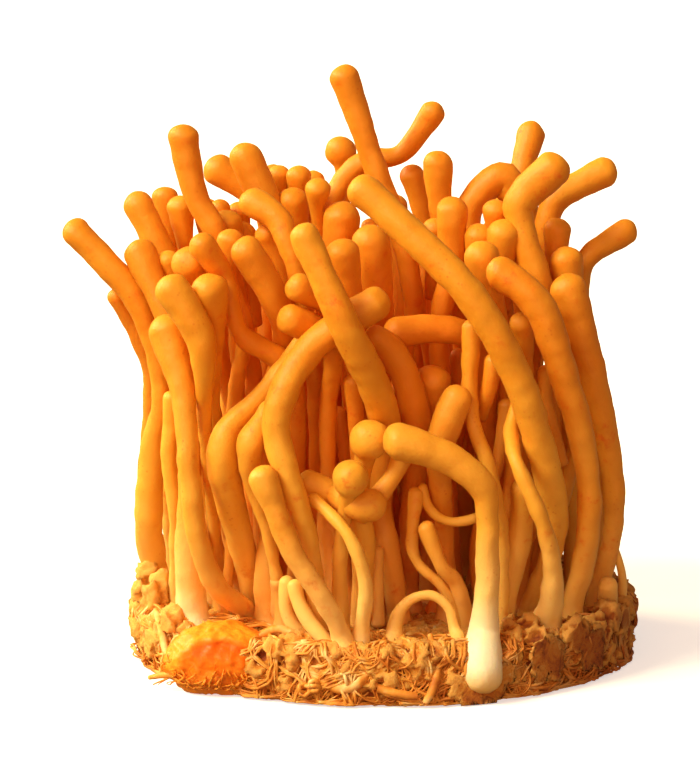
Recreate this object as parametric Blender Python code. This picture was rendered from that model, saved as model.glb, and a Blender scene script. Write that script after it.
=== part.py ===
"""Cordyceps mushroom clump: many orange club-headed stromata standing on a round mat of rooted
substrate that was cut out of its culture jar.

Frame: metres, +Z up, the viewer at -Y. The origin is the middle of the mat's flat underside.
Work sizes below are in millimetres and become metres where an object is made.

Most stromata are laid down along lines of sight. Each of their points is chosen by hand as
(across, up, depth, diameter): where it is seen from the viewpoint, on an upright plane through the
origin, and how far behind (+) or in front of (-) that plane it stands. The last point of each is its
foot, (across, up, diameter), which stands on the mat where that line of sight meets it.
"""
import math

import bmesh
import bpy
import numpy as np
from mathutils import Matrix, Vector

MM = 0.001
GAP = 0.32

# Viewpoint that the points are seen from
VIEW_TILT = math.radians(10)
VIEW_DISTANCE = 600.0
AIM_ACROSS = -5.1
AIM_UP = 39.8
AIM_SHOWN_UP = 38.75

# Mat of substrate
MAT_RADIUS = 38.0
MAT_TOP = 7.5
MAT_SIDES = 36
MAT_LEVELS = ((0.0, 0.955), (2.0, 1.0), (5.9, 1.0), (7.5, 0.96))
MAT_ROUGHNESS = 0.35
LOBE_CENTRE = (-23.4, -26.2, 4.6)
LOBE_SIZE = (7.4, 6.2, 4.5)
FOOT_BULGE_CENTRE = (14.4, -32.6, 4.0)
FOOT_BULGE_SIZE = (3.3, 3.8, 3.8)
LUMP_SEGMENTS = 12
LUMP_ROWS = 7
# Balls that keep the stromata off the lobe: how far to each side, height and radius
LOBE_GUARD_SPREAD = 3.0
LOBE_GUARD_HEIGHT = 4.2
LOBE_GUARD_RADIUS = 4.3

# Faceting of the stromata
SIDES_RESOLUTION = 2
CLUSTER_RESOLUTION = 1
RING_SPACING = 30.0
RING_TURN = math.radians(50)
RING_SWELL = 2.6
HEAD_RINGS = ((0.05, 0.4), (0.42, 0.85), (1.05, 1.0))
PLAIN_HEAD_RINGS = ((0.08, 0.5), (0.75, 0.97))
MOSTLY_SEEN = 0.52
FOOT_RISE = 1.3

# Shared foot of a cluster: a low blunt cone, and how its stromata are set on it
CONE_HEIGHT = 3.4
CONE_SIDES = 10
CONE_TOP_SHARE = 0.5
CONE_GUARD_SHARE = 0.6
MEMBER_SPREAD = 0.5
MEMBER_TURN = 0.6
SUNK_FOOT = 0.6
SHARED_FOOT = 9.0

# Settling of neighbours until they are clear of each other. A push goes along the line of sight where
# the point is seen, so that it stays where the viewer sees it, and partly aside where it is hidden.
SWEEPS = 260
PAIRS_EVERY = 8
SETTLED = 0.02
SIDE_ON = 0.12
LEAST_ALONG = 0.4
LONGEST_PUSH = 1.5
HIDDEN_ASIDE = 0.6
EACH_SIDE = 0.5
EASE = 0.8
SAMPLE_STEP = 1.9
REACH = 3.0
SMOOTHING = 0.06
SPARE = 0.12

# Stromata that stand free of each other. name: (points seen, points)
STROMATA = {
    "stroma_left_reaching": (3, [
        (-46.4, 61.9, -14, 3.9), (-41.2, 56.8, -15, 4.3), (-36.4, 49.9, -16, 3.5), (-33.6, 38.5, -15, 2.9),
        (-35.2, 27, -12, 3.8), (-35.6, 17, -9, 4.2), (-34.2, 6.6, 3.8)]),
    "stroma_left_outer": (7, [
        (-40.8, 52.2, -13, 2.4), (-37.6, 45.5, -11, 2.7), (-35.7, 41.2, -9, 2.8), (-36.2, 31, -5, 2.3),
        (-37.2, 21, -1, 2.2), (-36.6, 13, 3, 2.2), (-35.2, 8.4, 2.3)]),
    "stroma_left_cream": (6, [
        (-36.9, 58.7, -15, 4.1), (-33.6, 51.5, -18, 3.8), (-31, 41, -20, 3), (-30, 28, -21, 2.5),
        (-30, 15, -21, 4.0), (-29.9, 8, -20.5, 4.6), (-29.6, 2.8, 4.4)]),
    "stroma_left_notched": (8, [
        (-32.4, 46.9, -25, 5.2), (-31.4, 43.5, -25.5, 4.6), (-29.7, 35, -26, 3.2), (-29.1, 25, -26, 3.1),
        (-28.3, 17.5, -26, 3.0), (-25.7, 10, -24, 3.3), (-22.4, 5.8, -20, 2.8), (-20.6, 3.4, 2.7)]),
    "stroma_left_slender": (5, [
        (-31.9, 53.3, -28, 4.4), (-29.9, 50.3, -28.5, 4.4), (-27.7, 46.7, -28.5, 4.4),
        (-27, 39.8, -27.5, 2.8), (-26.8, 30, -22.5, 1.8), (-25.8, 20, -15, 1.7), (-24.4, 5.4, 1.9)]),
    "stroma_left_bulb": (3, [
        (-26.2, 53.2, -24, 4.8), (-25.5, 48.5, -23.5, 3.4), (-25.5, 43, -22, 2.1), (-25.6, 30, -17, 2),
        (-26.2, 6.2, 2.3)]),
    "stroma_left_hooked": (6, [
        (-27.4, 59.8, -22, 3.6), (-25.0, 57.5, -22, 3.4), (-22.8, 50, -22, 2.3), (-21.4, 46.4, -22, 2.9),
        (-18.4, 44.6, -22, 3.3), (-14.8, 41.6, -21.5, 3.2), (-13, 34, -19, 2.8), (-13.2, 20, -15, 2.6),
        (-13.2, 4.8, 3)]),
    "stroma_left_necked": (4, [
        (-22.9, 60.4, -15, 3.8), (-23.3, 57.8, -15, 1.9), (-21.9, 51.5, -14.5, 2.2),
        (-20.7, 46.8, -13.5, 2.3), (-22.5, 36, -9.5, 2.3), (-23.3, 22, -4, 2.4), (-22.6, 7.7, 2.8)]),
    "stroma_left_crown": (2, [
        (-36.9, 66, -5, 4), (-33.8, 59.8, -6.5, 4.4), (-31.5, 53, -6, 3.6), (-31.4, 40, -2, 2.6),
        (-32, 22, 3.5, 2.8), (-31.2, 9.7, 3.2)]),
    "stroma_left_crown_behind": (2, [
        (-33.5, 67.2, 4, 3.6), (-32.7, 61, 4, 2.8), (-30.3, 45, 9.5, 2.6), (-29.5, 25, 16, 2.6),
        (-28, 11.7, 3)]),
    "stroma_left_crown_short": (2, [
        (-30.5, 65.4, -2, 4), (-29.9, 60.5, -2, 2.3), (-28, 48, 2, 2.4), (-26, 25, 8, 2.6),
        (-25.5, 10.1, 3)]),
    "stroma_left_tall": (4, [
        (-29.9, 76.3, -7, 4), (-29.2, 71, -6.5, 3.8), (-27.4, 66.2, -7.5, 3.5), (-24.9, 61.5, -7.5, 3.3),
        (-22.5, 54, -5.5, 3), (-19.5, 38, -0.5, 2.8), (-18.3, 7.8, 3.2)]),
    "stroma_left_bent": (3, [
        (-25.8, 71, 3, 4.4), (-22.2, 68.6, 3, 3.5), (-19.4, 65.6, 3.5, 3.2), (-17.5, 57, 6.5, 2.8),
        (-16, 35, 12, 2.8), (-15, 11.4, 3.2)]),
    "stroma_left_stout": (3, [
        (-21, 73.2, -2, 4.4), (-19.6, 69.5, -2.5, 4.9), (-17, 64, -2, 4.2), (-14.8, 55, 0, 3.2),
        (-12.7, 35, 3.5, 3), (-12.5, 9, 3.4)]),
    "stroma_arched_pale": (3, [
        (-19.9, 66.6, -16, 3.6), (-17.6, 65.6, -17, 4), (-14.6, 60.6, -19.5, 3.2), (-12.7, 54, -20, 2.7),
        (-10.5, 40, -15, 2.6), (-9.8, 20, -7, 2.8), (-9.6, 6.7, 3.2)]),
    "stroma_slanting_front": (3, [
        (-20.7, 59, -26, 4.4), (-17.4, 53.6, -25, 4.6), (-15, 47.2, -22, 3.4), (-17, 36, -17, 2.8),
        (-18, 20, -12, 2.6), (-17.6, 4.9, 3)]),
    "stroma_slanting_behind": (2, [
        (-17.7, 61.5, -14.5, 3.2), (-14.8, 55.8, -13, 3.4), (-13.8, 48, -10.5, 2.8), (-15, 30, -5, 2.6),
        (-14.8, 7.9, 3)]),
    "stroma_left_pouch": (5, [
        (-31.8, 37, -17, 2.3), (-32.5, 31, -17, 2.9), (-31.4, 24.5, -16.5, 2.0), (-31.6, 17, -15, 1.9),
        (-31.6, 10, -12, 1.9), (-31.2, 5, 2.0)]),
    "stroma_front_diagonal": (6, [
        (-12, 61.2, -31, 3.8), (-8.9, 54.8, -32, 4.2), (-5.2, 46, -32.5, 4.6), (-0.8, 36.5, -29, 4.6),
        (0.2, 30, -25, 4.2), (-1, 20, -22, 3.9), (0.6, 13, -22, 3.4), (1.9, 2.9, 3.2)]),
    "stroma_front_arch": (9, [
        (-1.3, 51.2, -28, 4.4), (-4, 50, -28, 4.2), (-7.5, 47.8, -28, 4.2), (-12.6, 42.4, -29, 4.4),
        (-15.7, 36, -31, 4.4), (-16, 31, -31, 3.9), (-14.3, 25, -31, 3.7), (-12.2, 20, -30, 3.6),
        (-11.2, 14, -28, 2.7), (-9.8, 1.6, 2.7)]),
    "stroma_left_arch": (7, [
        (-11.3, 45.3, -21.5, 3.4), (-16, 40.8, -24, 3.4), (-20.4, 35.2, -25.5, 3), (-23.6, 32, -26.5, 3.8),
        (-24.3, 27.6, -27, 4.6), (-22.8, 21.5, -24, 4.4), (-21.3, 13.5, -19, 3.8), (-19.4, 4.2, 3.4)]),
    "stroma_front_pear": (5, [
        (-17.5, 35, -28, 2.8), (-20.2, 30, -29.5, 4), (-20.4, 26, -28.5, 2.8), (-19.6, 21.5, -26.8, 1.9),
        (-17.5, 15.6, -25, 1.9), (-15.8, 2.4, 2)]),
    "stroma_front_leaning": (5, [
        (-18.2, 25.2, -31, 3.6), (-16.1, 20, -31.5, 3.1), (-14.2, 15, -32, 3.1), (-11, 10, -32, 3.1),
        (-8.1, 5, -33, 2.8), (-6.4, -0.4, 2.7)]),
    "stroma_side_upper": (2, [
        (-12.9, 53.6, -27, 3.8), (-9.4, 51.8, -25, 3.6), (-4.8, 48.6, -20.5, 3), (-3.5, 41, -15.5, 2.6),
        (-5, 25, -7, 2.6), (-5, 7.3, 3)]),
    "stroma_side_lower": (2, [
        (-13.1, 48.9, -26.5, 4.2), (-10, 47.8, -25, 4.2), (-7, 44.5, -22, 3.2), (-7.5, 34, -17, 2.6),
        (-6.2, 3.2, 2.8)]),
    "stroma_round_knob_low": (1, [
        (-5.2, 25.6, -33, 5.2), (-5.9, 21.5, -30.5, 2.7), (-6.7, 14, -27, 2.3), (-6.6, 1.4, 2.5)]),
    "stroma_front_pale": (5, [
        (-10.6, 22, -27, 1.8), (-6.9, 18.8, -30, 1.9), (-4.1, 14, -31.5, 1.9), (-2.8, 9, -32, 2.1),
        (-3.6, 0, 2.2)]),
    "stroma_front_left_stub": (3, [
        (-17, 17.5, -21, 2.6), (-17.6, 10, -21.5, 3.6), (-17.4, 2.4, 3.7)]),
    "stroma_white_foot": (9, [
        (2.1, 30.4, -33, 4.7), (5.2, 30.1, -33, 5.0), (8.9, 28.4, -33, 4.6), (12.5, 26, -33, 4.3),
        (15, 23, -33, 3.8), (15.5, 18, -32.5, 3.2), (15.3, 10, -32, 3.3), (15.4, 5, -31.5, 4.0),
        (15.5, 0.3, 4.7)]),
    "stroma_thumb": (2, [
        (11, 36.9, -27, 4.2), (8.8, 32, -27, 4.4), (8.3, 27.5, -25.5, 3.8), (9, 18, -20, 2.7),
        (9.6, 3.8, 3)]),
    "stroma_thumb_behind": (1, [
        (7.3, 39.4, -19, 5), (6.8, 35, -17.5, 4.2), (6.6, 25, -12.5, 2.8), (6.8, 6.1, 3)]),
    "stroma_level": (3, [
        (1.6, 46.8, -20.5, 3.2), (3.9, 47.1, -19.5, 4), (7.5, 47.4, -19, 4), (11.4, 47, -18, 4),
        (14.5, 43.5, -14.5, 3.4), (16, 33, -8.5, 2.8), (15.5, 20, -4, 2.8), (15.4, 7.3, 3)]),
    "stroma_centre_curved": (4, [
        (-1.3, 46, -24, 3.2), (0.8, 44.6, -23, 3.8), (3.9, 38, -21.5, 4.4), (5, 33, -20.5, 4.1),
        (4.9, 27, -19, 3.4), (3.6, 16, -14.5, 2.8), (3.8, 5.1, 3)]),
    "stroma_tallest": (4, [
        (-6.1, 85, -3, 3.9), (-4.3, 79, -3, 3.4), (-2.1, 73, -3, 3.4), (0.2, 66.5, -3.5, 3.6),
        (3.2, 58, -4, 3.2), (4.5, 45, -2.5, 3), (3.6, 25, 3, 3), (3.4, 9.4, 3.4)]),
    "stroma_round_knob_high": (1, [
        (-6.5, 74.2, 14, 4.7), (-6.2, 71, 13.5, 2.3), (-5.5, 62, 15, 2.3), (-4, 40, 19.5, 2.6),
        (-4, 13.6, 3)]),
    "stroma_upper_arch": (6, [
        (7.2, 79.8, 6, 3.3), (5.1, 76.4, 6, 2.8), (2, 73.4, 6.5, 3), (-3.8, 72.2, 7, 3.2),
        (-7.8, 67.6, 7, 3.5), (-10.2, 62.3, 7, 3.2), (-9.6, 50, 10.5, 2.8), (-8, 30, 16, 2.8),
        (-7.6, 11.8, 3.2)]),
    "stroma_upper_leg": (2, [
        (4.2, 70.4, 8, 3.5), (6.8, 63, 8.5, 3.6), (8.5, 52, 11, 3), (8.8, 30, 17.5, 3), (8.6, 12.5, 3.2)]),
    "stroma_upper_centre": (2, [
        (8.2, 72.1, 0, 4.2), (8.3, 67, 0, 3.5), (9.6, 58, 1.5, 3), (11.8, 45, 4.5, 2.8),
        (12.4, 25, 10, 2.8), (12.2, 10.4, 3)]),
    "stroma_right_diagonal": (8, [
        (-3.3, 68, -25, 4.3), (-0.2, 66.3, -26, 4.5), (5, 60.6, -28, 4.6), (10.3, 55.3, -30, 4.5),
        (14.8, 50, -30, 4.5), (20, 40, -28.5, 4.5), (23.2, 30, -25.5, 4.4), (25.6, 22, -22.5, 3.9),
        (25.4, 14.7, -18.5, 3.3), (23.2, 9.5, -16, 3.4), (22.2, 4.2, 3.3)]),
    "stroma_right_upright": (3, [
        (10.2, 65.2, -9, 4.2), (10.6, 58.5, -8.5, 4), (8.9, 52, -9, 3.3), (8.2, 44, -7.5, 3),
        (9.5, 25, -3.5, 2.8), (10.4, 7.4, 3)]),
    "stroma_inner_straight": (5, [
        (13.3, 47.5, -25, 2.6), (12.6, 38, -25.5, 2.6), (13.6, 32.3, -26, 2.2), (15.4, 27.5, -26.5, 2.2),
        (17.2, 21, -26, 2.1), (17.8, 12, -24, 2.1), (17.4, 1.8, 2.3)]),
    "stroma_right_elbow": (4, [
        (25.4, 71.6, -11, 4.4), (22.6, 69.2, -11, 4.9), (20.2, 66, -11, 4.7), (20.6, 62.5, -11.5, 3.9),
        (22.5, 56.5, -12, 4.3), (24.4, 50, -12, 3.4), (26.4, 42, -10, 2.9), (28, 32, -7, 2.8),
        (28.4, 7.3, 3)]),
    "stroma_right_bent_over": (4, [
        (19, 68, 2, 3.7), (18.3, 70, 1.5, 4.3), (16.2, 69.4, 1.5, 4.4), (12.6, 65, 1, 4),
        (13.5, 56, 1, 3.2), (16.5, 42, 3.5, 2.8), (18.4, 25, 7.5, 2.8), (18.6, 9.6, 3)]),
    "stroma_right_high": (2, [
        (22.1, 76.6, 14, 4), (20.7, 72, 11.5, 3.5), (20, 64, 10, 3), (20.2, 50, 10, 2.8),
        (20, 30, 12.5, 2.8), (19.8, 11.3, 3)]),
    "stroma_right_spread": (4, [
        (33.2, 70.7, 0, 4.1), (28.6, 69, -0.5, 4), (25.2, 65.3, -1.5, 3.8), (24.4, 60, -1.5, 3.4),
        (25.6, 50, -2, 2.8), (27.2, 38, -0.5, 2.6), (29.8, 25, 3.5, 2.6), (30.4, 9.7, 3)]),
    "stroma_right_dome": (1, [
        (27.6, 57.7, -8.5, 4.6), (28.3, 51, -8, 3.4), (30, 40, -5, 2.8), (32.3, 25, 0, 2.6),
        (32, 8.5, 2.8)]),
    "stroma_right_reaching": (3, [
        (36.7, 61.9, -2, 3.5), (32.4, 59.5, -3.5, 3.2), (29.9, 56.2, -4, 3.4), (29.9, 50, -3.5, 3),
        (31.6, 38, -1, 2.6), (33.6, 25, 2.5, 2.6), (33, 9.6, 2.8)]),
    "stroma_right_outer": (6, [
        (27.6, 53.3, -16.5, 4.8), (29.3, 48, -17, 4.8), (31.1, 41, -16, 4.3), (33.5, 30, -14, 3.6),
        (34.7, 20.5, -12, 3.3), (33.4, 13, -10, 2.8), (31.8, 5.2, 2.7)]),
    "stroma_right_bowed": (8, [
        (17.4, 55.7, -24, 4.2), (19.6, 54.6, -24.5, 4.4), (23, 51, -25, 4.6), (25.8, 44, -24.5, 4.5),
        (28, 36.5, -23.5, 4), (30.4, 27, -22, 3.6), (31.2, 20, -21, 3.5), (29.6, 12.5, -19.5, 3.5),
        (28.2, 3.4, 3.1)]),
    "stroma_right_flared": (7, [
        (20.9, 38, -22.5, 2.2), (19.4, 34, -24, 2.2), (19.1, 31, -26.5, 2.2), (20.0, 27, -29, 2.2),
        (22.0, 22.5, -30, 2.3), (24, 18, -30, 2.5), (25.2, 12, -28, 2.8), (25.2, 6, -26, 3.5),
        (24.4, 1.7, 4.2)]),
}

# A thin strand that leaves the mat and comes back to it: (across, up, depth, diameter), ends as feet
ARCH_NAME = "root_arch"
ARCH = [(1.6, -0.2, 2.0), (1.7, 3.2, -31, 1.9), (3.3, 6.1, -31, 1.5), (6.3, 7.4, -31, 1.4),
        (9.2, 6.2, -31, 1.4), (10.3, 3.2, -31, 1.5), (11.0, -0.2, 1.7)]

# Stromata that rise together out of one foot. name: (foot x, foot y, foot radius, members)
CLUSTERS = {
    "cluster_left": (-18.0, 9.0, 4.2, [
        (2, [(-29.9, 57.6, -19, 4.8), (-27.9, 52.4, -15, 3.6), (-24, 38, -2, 2.6)]),
        (2, [(-24.7, 66, -3, 3.4), (-24.2, 60, -2, 2.7), (-21.5, 40, 4, 2.6)]),
        (2, [(-22, 63.3, -8, 4.4), (-21.4, 57.5, -7, 3), (-20, 40, 0, 2.6)]),
        (2, [(-15.9, 70.1, 13, 3.0), (-16.2, 62, 13, 2.6), (-17.5, 40, 12, 2.6)]),
        (2, [(-12.8, 70.2, 14, 3.4), (-12.6, 62, 14, 2.8), (-15, 40, 13, 2.8)])]),
    "cluster_centre": (-0.5, 7.5, 3.6, [
        (2, [(-13.2, 66.9, 1, 4.8), (-12.4, 61, 0, 3.6), (-6, 40, 3, 2.6)]),
        (2, [(-5.6, 63.8, -9, 5.2), (-6.3, 58.5, -9, 4.4), (-4.5, 40, -3, 2.8)]),
        (2, [(-1.8, 60.4, -13, 5.2), (-0.8, 54, -12.5, 4.6), (-0.4, 40, -6, 3.0)]),
        (2, [(-7.2, 59.2, -18, 4.6), (-6.2, 54, -17, 3.6), (-1.9, 38, -8, 2.6)])]),
    "cluster_right": (20.5, 3.0, 3.6, [
        (1, [(14.3, 61.4, -5, 3.6), (15.3, 54, -5, 2.8), (19, 38, -2, 2.6)]),
        (2, [(17.9, 61.9, -7, 4.4), (17.8, 57, -8, 3.6), (19.8, 40, -5, 2.8)]),
        (2, [(15, 58.4, -17, 4.8), (15.8, 54, -16.5, 4.2), (18.6, 42, -10, 2.8)]),
        (1, [(25.3, 62.3, -5, 3.8), (25, 56, -5, 3.0), (26.3, 42, -3, 2.6), (24, 26, 0, 2.6)]),
        (2, [(20.9, 48.2, -19, 3.4), (21.6, 44.5, -17, 2.8), (21, 32, -9, 2.4)])]),
    "strands_front_right": (13.5, -21.5, 2.0, [
        (4, [(4.9, 22.6, -25, 2.2), (4.2, 17.5, -26.5, 2.0), (4.6, 13, -27, 1.6), (8.4, 8.9, -27, 1.5)]),
        (4, [(6.2, 17.6, -29, 1.7), (7.2, 14.3, -29, 2.0), (9, 11.2, -28.5, 2.2), (11.2, 8.6, -26.5, 2.2)])]),
    "stroma_round_knob": (-3.4, -16.5, 2.0, [
        (1, [(-2, 30.2, -30.5, 5.7), (-3.2, 25, -27.5, 3.2), (-3.4, 15, -22, 2.7)]),
        (4, [(-11.6, 24.4, -25.5, 2.9), (-8.8, 23.4, -25.5, 3.3), (-6, 21.9, -25.5, 3.3),
             (-3.6, 19, -24.5, 3.2)])]),
}

# The far side, which the viewpoint doesn't reach: rows of like stromata, told by a rule
BACK_CLUSTERS = {
    "cluster_back_left": (-21.0, 26.0, 4.6, 6, 135, 75),
    "cluster_back_middle": (3.0, 29.5, 4.6, 6, 95, 80),
    "cluster_back_right": (18.5, 25.5, 4.6, 6, 62, 70),
}
BACK_DIAMETER = 3.2
BACK_DIAMETER_CHANGE = 0.3
BACK_HEIGHTS = (45.0, 58.0)
BACK_LEANS = (3.0, 8.0)
BACK_HEAD_LENGTH = 8.0
BACK_FOOT_SPREAD = 0.55
BACK_BOW = 1.5
# Lower points of a back stroma: share of its lean, of its height and of its diameter
BACK_STALK = ((0.5, 0.55, 0.85), (0.2, 0.3, 0.8))
BACK_HEAD_SHARES = (1.25, 1.1)
ARCH_RINGS = 12


def clear_scene():
    for existing in list(bpy.data.objects):
        bpy.data.objects.remove(existing, do_unlink=True)


def place_seen(across, up, depth):
    """World point in mm of what is seen at (across, up) and stands at the given depth."""
    tilt_sin, tilt_cos = math.sin(VIEW_TILT), math.cos(VIEW_TILT)
    rise = up - AIM_SHOWN_UP
    height = (rise * (VIEW_DISTANCE + depth * tilt_cos) - VIEW_DISTANCE * depth * tilt_sin)
    height /= VIEW_DISTANCE * tilt_cos + rise * tilt_sin
    away = VIEW_DISTANCE + depth * tilt_cos - height * tilt_sin
    return np.array((AIM_ACROSS + (across - AIM_ACROSS) * away / VIEW_DISTANCE, depth, AIM_UP + height))


def place_foot(across, up):
    """World point in mm where the line of sight at (across, up) meets the mat's top."""
    near, far = -60.0, 60.0
    for _ in range(40):
        middle = (near + far) / 2
        if place_seen(across, up, middle)[2] > MAT_TOP:
            near = middle
        else:
            far = middle
    return place_seen(across, up, (near + far) / 2)


def seen_route(points):
    """World points and diameters of a stroma given head first, its last point a foot."""
    route = [(*place_seen(*point[:3]), point[3]) for point in points[:-1]]
    route.append((*place_foot(*points[-1][:2]), points[-1][2]))
    return np.array(route)


def smooth_route(route, step=0.5):
    """Fine samples of a centripetal Catmull-Rom curve through the route's points."""
    ends = np.vstack((2 * route[0] - route[1], route, 2 * route[-1] - route[-2]))
    fine = []
    for index in range(1, len(ends) - 2):
        p0, p1, p2, p3 = ends[index - 1:index + 3]
        knots = [0.0]
        for first, second in ((p0, p1), (p1, p2), (p2, p3)):
            knots.append(knots[-1] + max(np.linalg.norm(second[:3] - first[:3]), 0.01) ** 0.5)
        count = max(2, int(np.linalg.norm(p2[:3] - p1[:3]) / step))
        for share in np.arange(count) / count:
            at = knots[1] + share * (knots[2] - knots[1])

            def mix(a, b, first, second):
                return (b - at) / (b - a) * first + (at - a) / (b - a) * second

            low = mix(knots[0], knots[2], mix(knots[0], knots[1], p0, p1), mix(knots[1], knots[2], p1, p2))
            high = mix(knots[1], knots[3], mix(knots[1], knots[2], p1, p2), mix(knots[2], knots[3], p2, p3))
            fine.append(mix(knots[1], knots[2], low, high))
    fine.append(route[-1])
    return np.array(fine)


def rings_along(fine, spacing=RING_SPACING, head_rings=HEAD_RINGS):
    """Few rings of a fine route: closer where it bends, rounded off at the head."""
    steps = np.diff(fine[:, :3], axis=0)
    lengths = np.linalg.norm(steps, axis=1)
    run = np.concatenate(((0.0,), np.cumsum(lengths)))
    heading = steps / lengths[:, None]
    turns = np.arccos(np.clip(np.sum(heading[1:] * heading[:-1], axis=1), -1, 1))
    cost = lengths / spacing
    cost[1:] += turns / RING_TURN
    cost += np.abs(np.diff(fine[:, 3])) / RING_SWELL
    total = np.concatenate(((0.0,), np.cumsum(cost)))
    head_radius = fine[0, 3] / 2
    tip = np.array([np.interp(run[0], run, fine[:, axis]) for axis in range(3)]) - heading[0] * head_radius
    rings = [(*(tip + heading[0] * head_radius * along), 2 * head_radius * share)
             for along, share in head_rings]
    start = np.interp(head_radius * 0.9, run, total)
    count = max(3, int(math.ceil(total[-1] - start)))
    for level in np.linspace(start, total[-1], count + 1)[1:]:
        at = np.interp(level, total, run)
        rings.append(tuple(np.interp(at, run, fine[:, axis]) for axis in range(4)))
    return np.array(rings)


def stand_on_mat(rings):
    """Cuts the last ring flat on the mat, with a short upright stretch above it."""
    rings[-1, 2] = MAT_TOP + GAP
    above = rings[-1].copy()
    above[2] += FOOT_RISE
    return np.vstack((rings[:-1], above, rings[-1]))


def spread_out(limits, share):
    return limits[0] + (limits[1] - limits[0]) * share


def all_limbs():
    """Every stroma as (node, points seen, rings), with the clusters' members one by one."""
    limbs = []
    for name, (seen, points) in STROMATA.items():
        share = seen / len(points)
        rings = rings_along(smooth_route(seen_route(points)),
                            head_rings=HEAD_RINGS if share > MOSTLY_SEEN else PLAIN_HEAD_RINGS)
        limbs.append((name, share, stand_on_mat(rings)))
    for name, (foot_x, foot_y, foot_radius, members) in CLUSTERS.items():
        for index, (seen, points) in enumerate(members):
            angle = 2 * math.pi * index / len(members) + MEMBER_TURN
            foot = (foot_x + MEMBER_SPREAD * foot_radius * math.cos(angle),
                    foot_y + MEMBER_SPREAD * foot_radius * math.sin(angle), MAT_TOP, points[-1][3])
            route = np.array([(*place_seen(*point[:3]), point[3]) for point in points] + [foot])
            rings = rings_along(smooth_route(route), head_rings=PLAIN_HEAD_RINGS)
            limbs.append((name, seen / (len(points) + 1), stand_on_mat(rings)))
    for name, (foot_x, foot_y, foot_radius, count, facing, spread) in BACK_CLUSTERS.items():
        for index in range(count):
            share = index / (count - 1)
            heading = math.radians(facing + (share - 0.5) * 2 * spread)
            height = spread_out(BACK_HEIGHTS, (index * 5 + 2) % 7 / 6)
            lean = spread_out(BACK_LEANS, (index * 3 + 1) % 5 / 4)
            out = np.array((math.cos(heading), math.sin(heading)))
            start = np.array((foot_x, foot_y)) + BACK_FOOT_SPREAD * foot_radius * out
            girth = BACK_DIAMETER + BACK_DIAMETER_CHANGE * math.sin(2.4 * index)
            (middle_lean, middle_height, middle_girth), (low_lean, low_height, low_girth) = BACK_STALK
            route = np.array([
                (*(start + out * lean), height, girth * BACK_HEAD_SHARES[0]),
                (*(start + out * lean * 0.8), height - BACK_HEAD_LENGTH, girth * BACK_HEAD_SHARES[1]),
                (*(start + out * lean * middle_lean + BACK_BOW * out[::-1]), height * middle_height,
                 girth * middle_girth),
                (*(start + out * lean * low_lean), height * low_height, girth * low_girth),
                (*start, MAT_TOP, girth)])
            rings = rings_along(smooth_route(route), head_rings=PLAIN_HEAD_RINGS)
            limbs.append((name, 0.0, stand_on_mat(rings)))
    return limbs


def arch_rings():
    first, last = place_foot(*ARCH[0][:2]), place_foot(*ARCH[-1][:2])
    route = [(*first, ARCH[0][2])]
    route += [(*place_seen(*point[:3]), point[3]) for point in ARCH[1:-1]]
    route.append((*last, ARCH[-1][2]))
    fine = smooth_route(np.array(route))
    picks = np.linspace(0, len(fine) - 1, ARCH_RINGS).astype(int)
    rings = stand_on_mat(fine[picks])
    return stand_on_mat(rings[::-1].copy())


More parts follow.
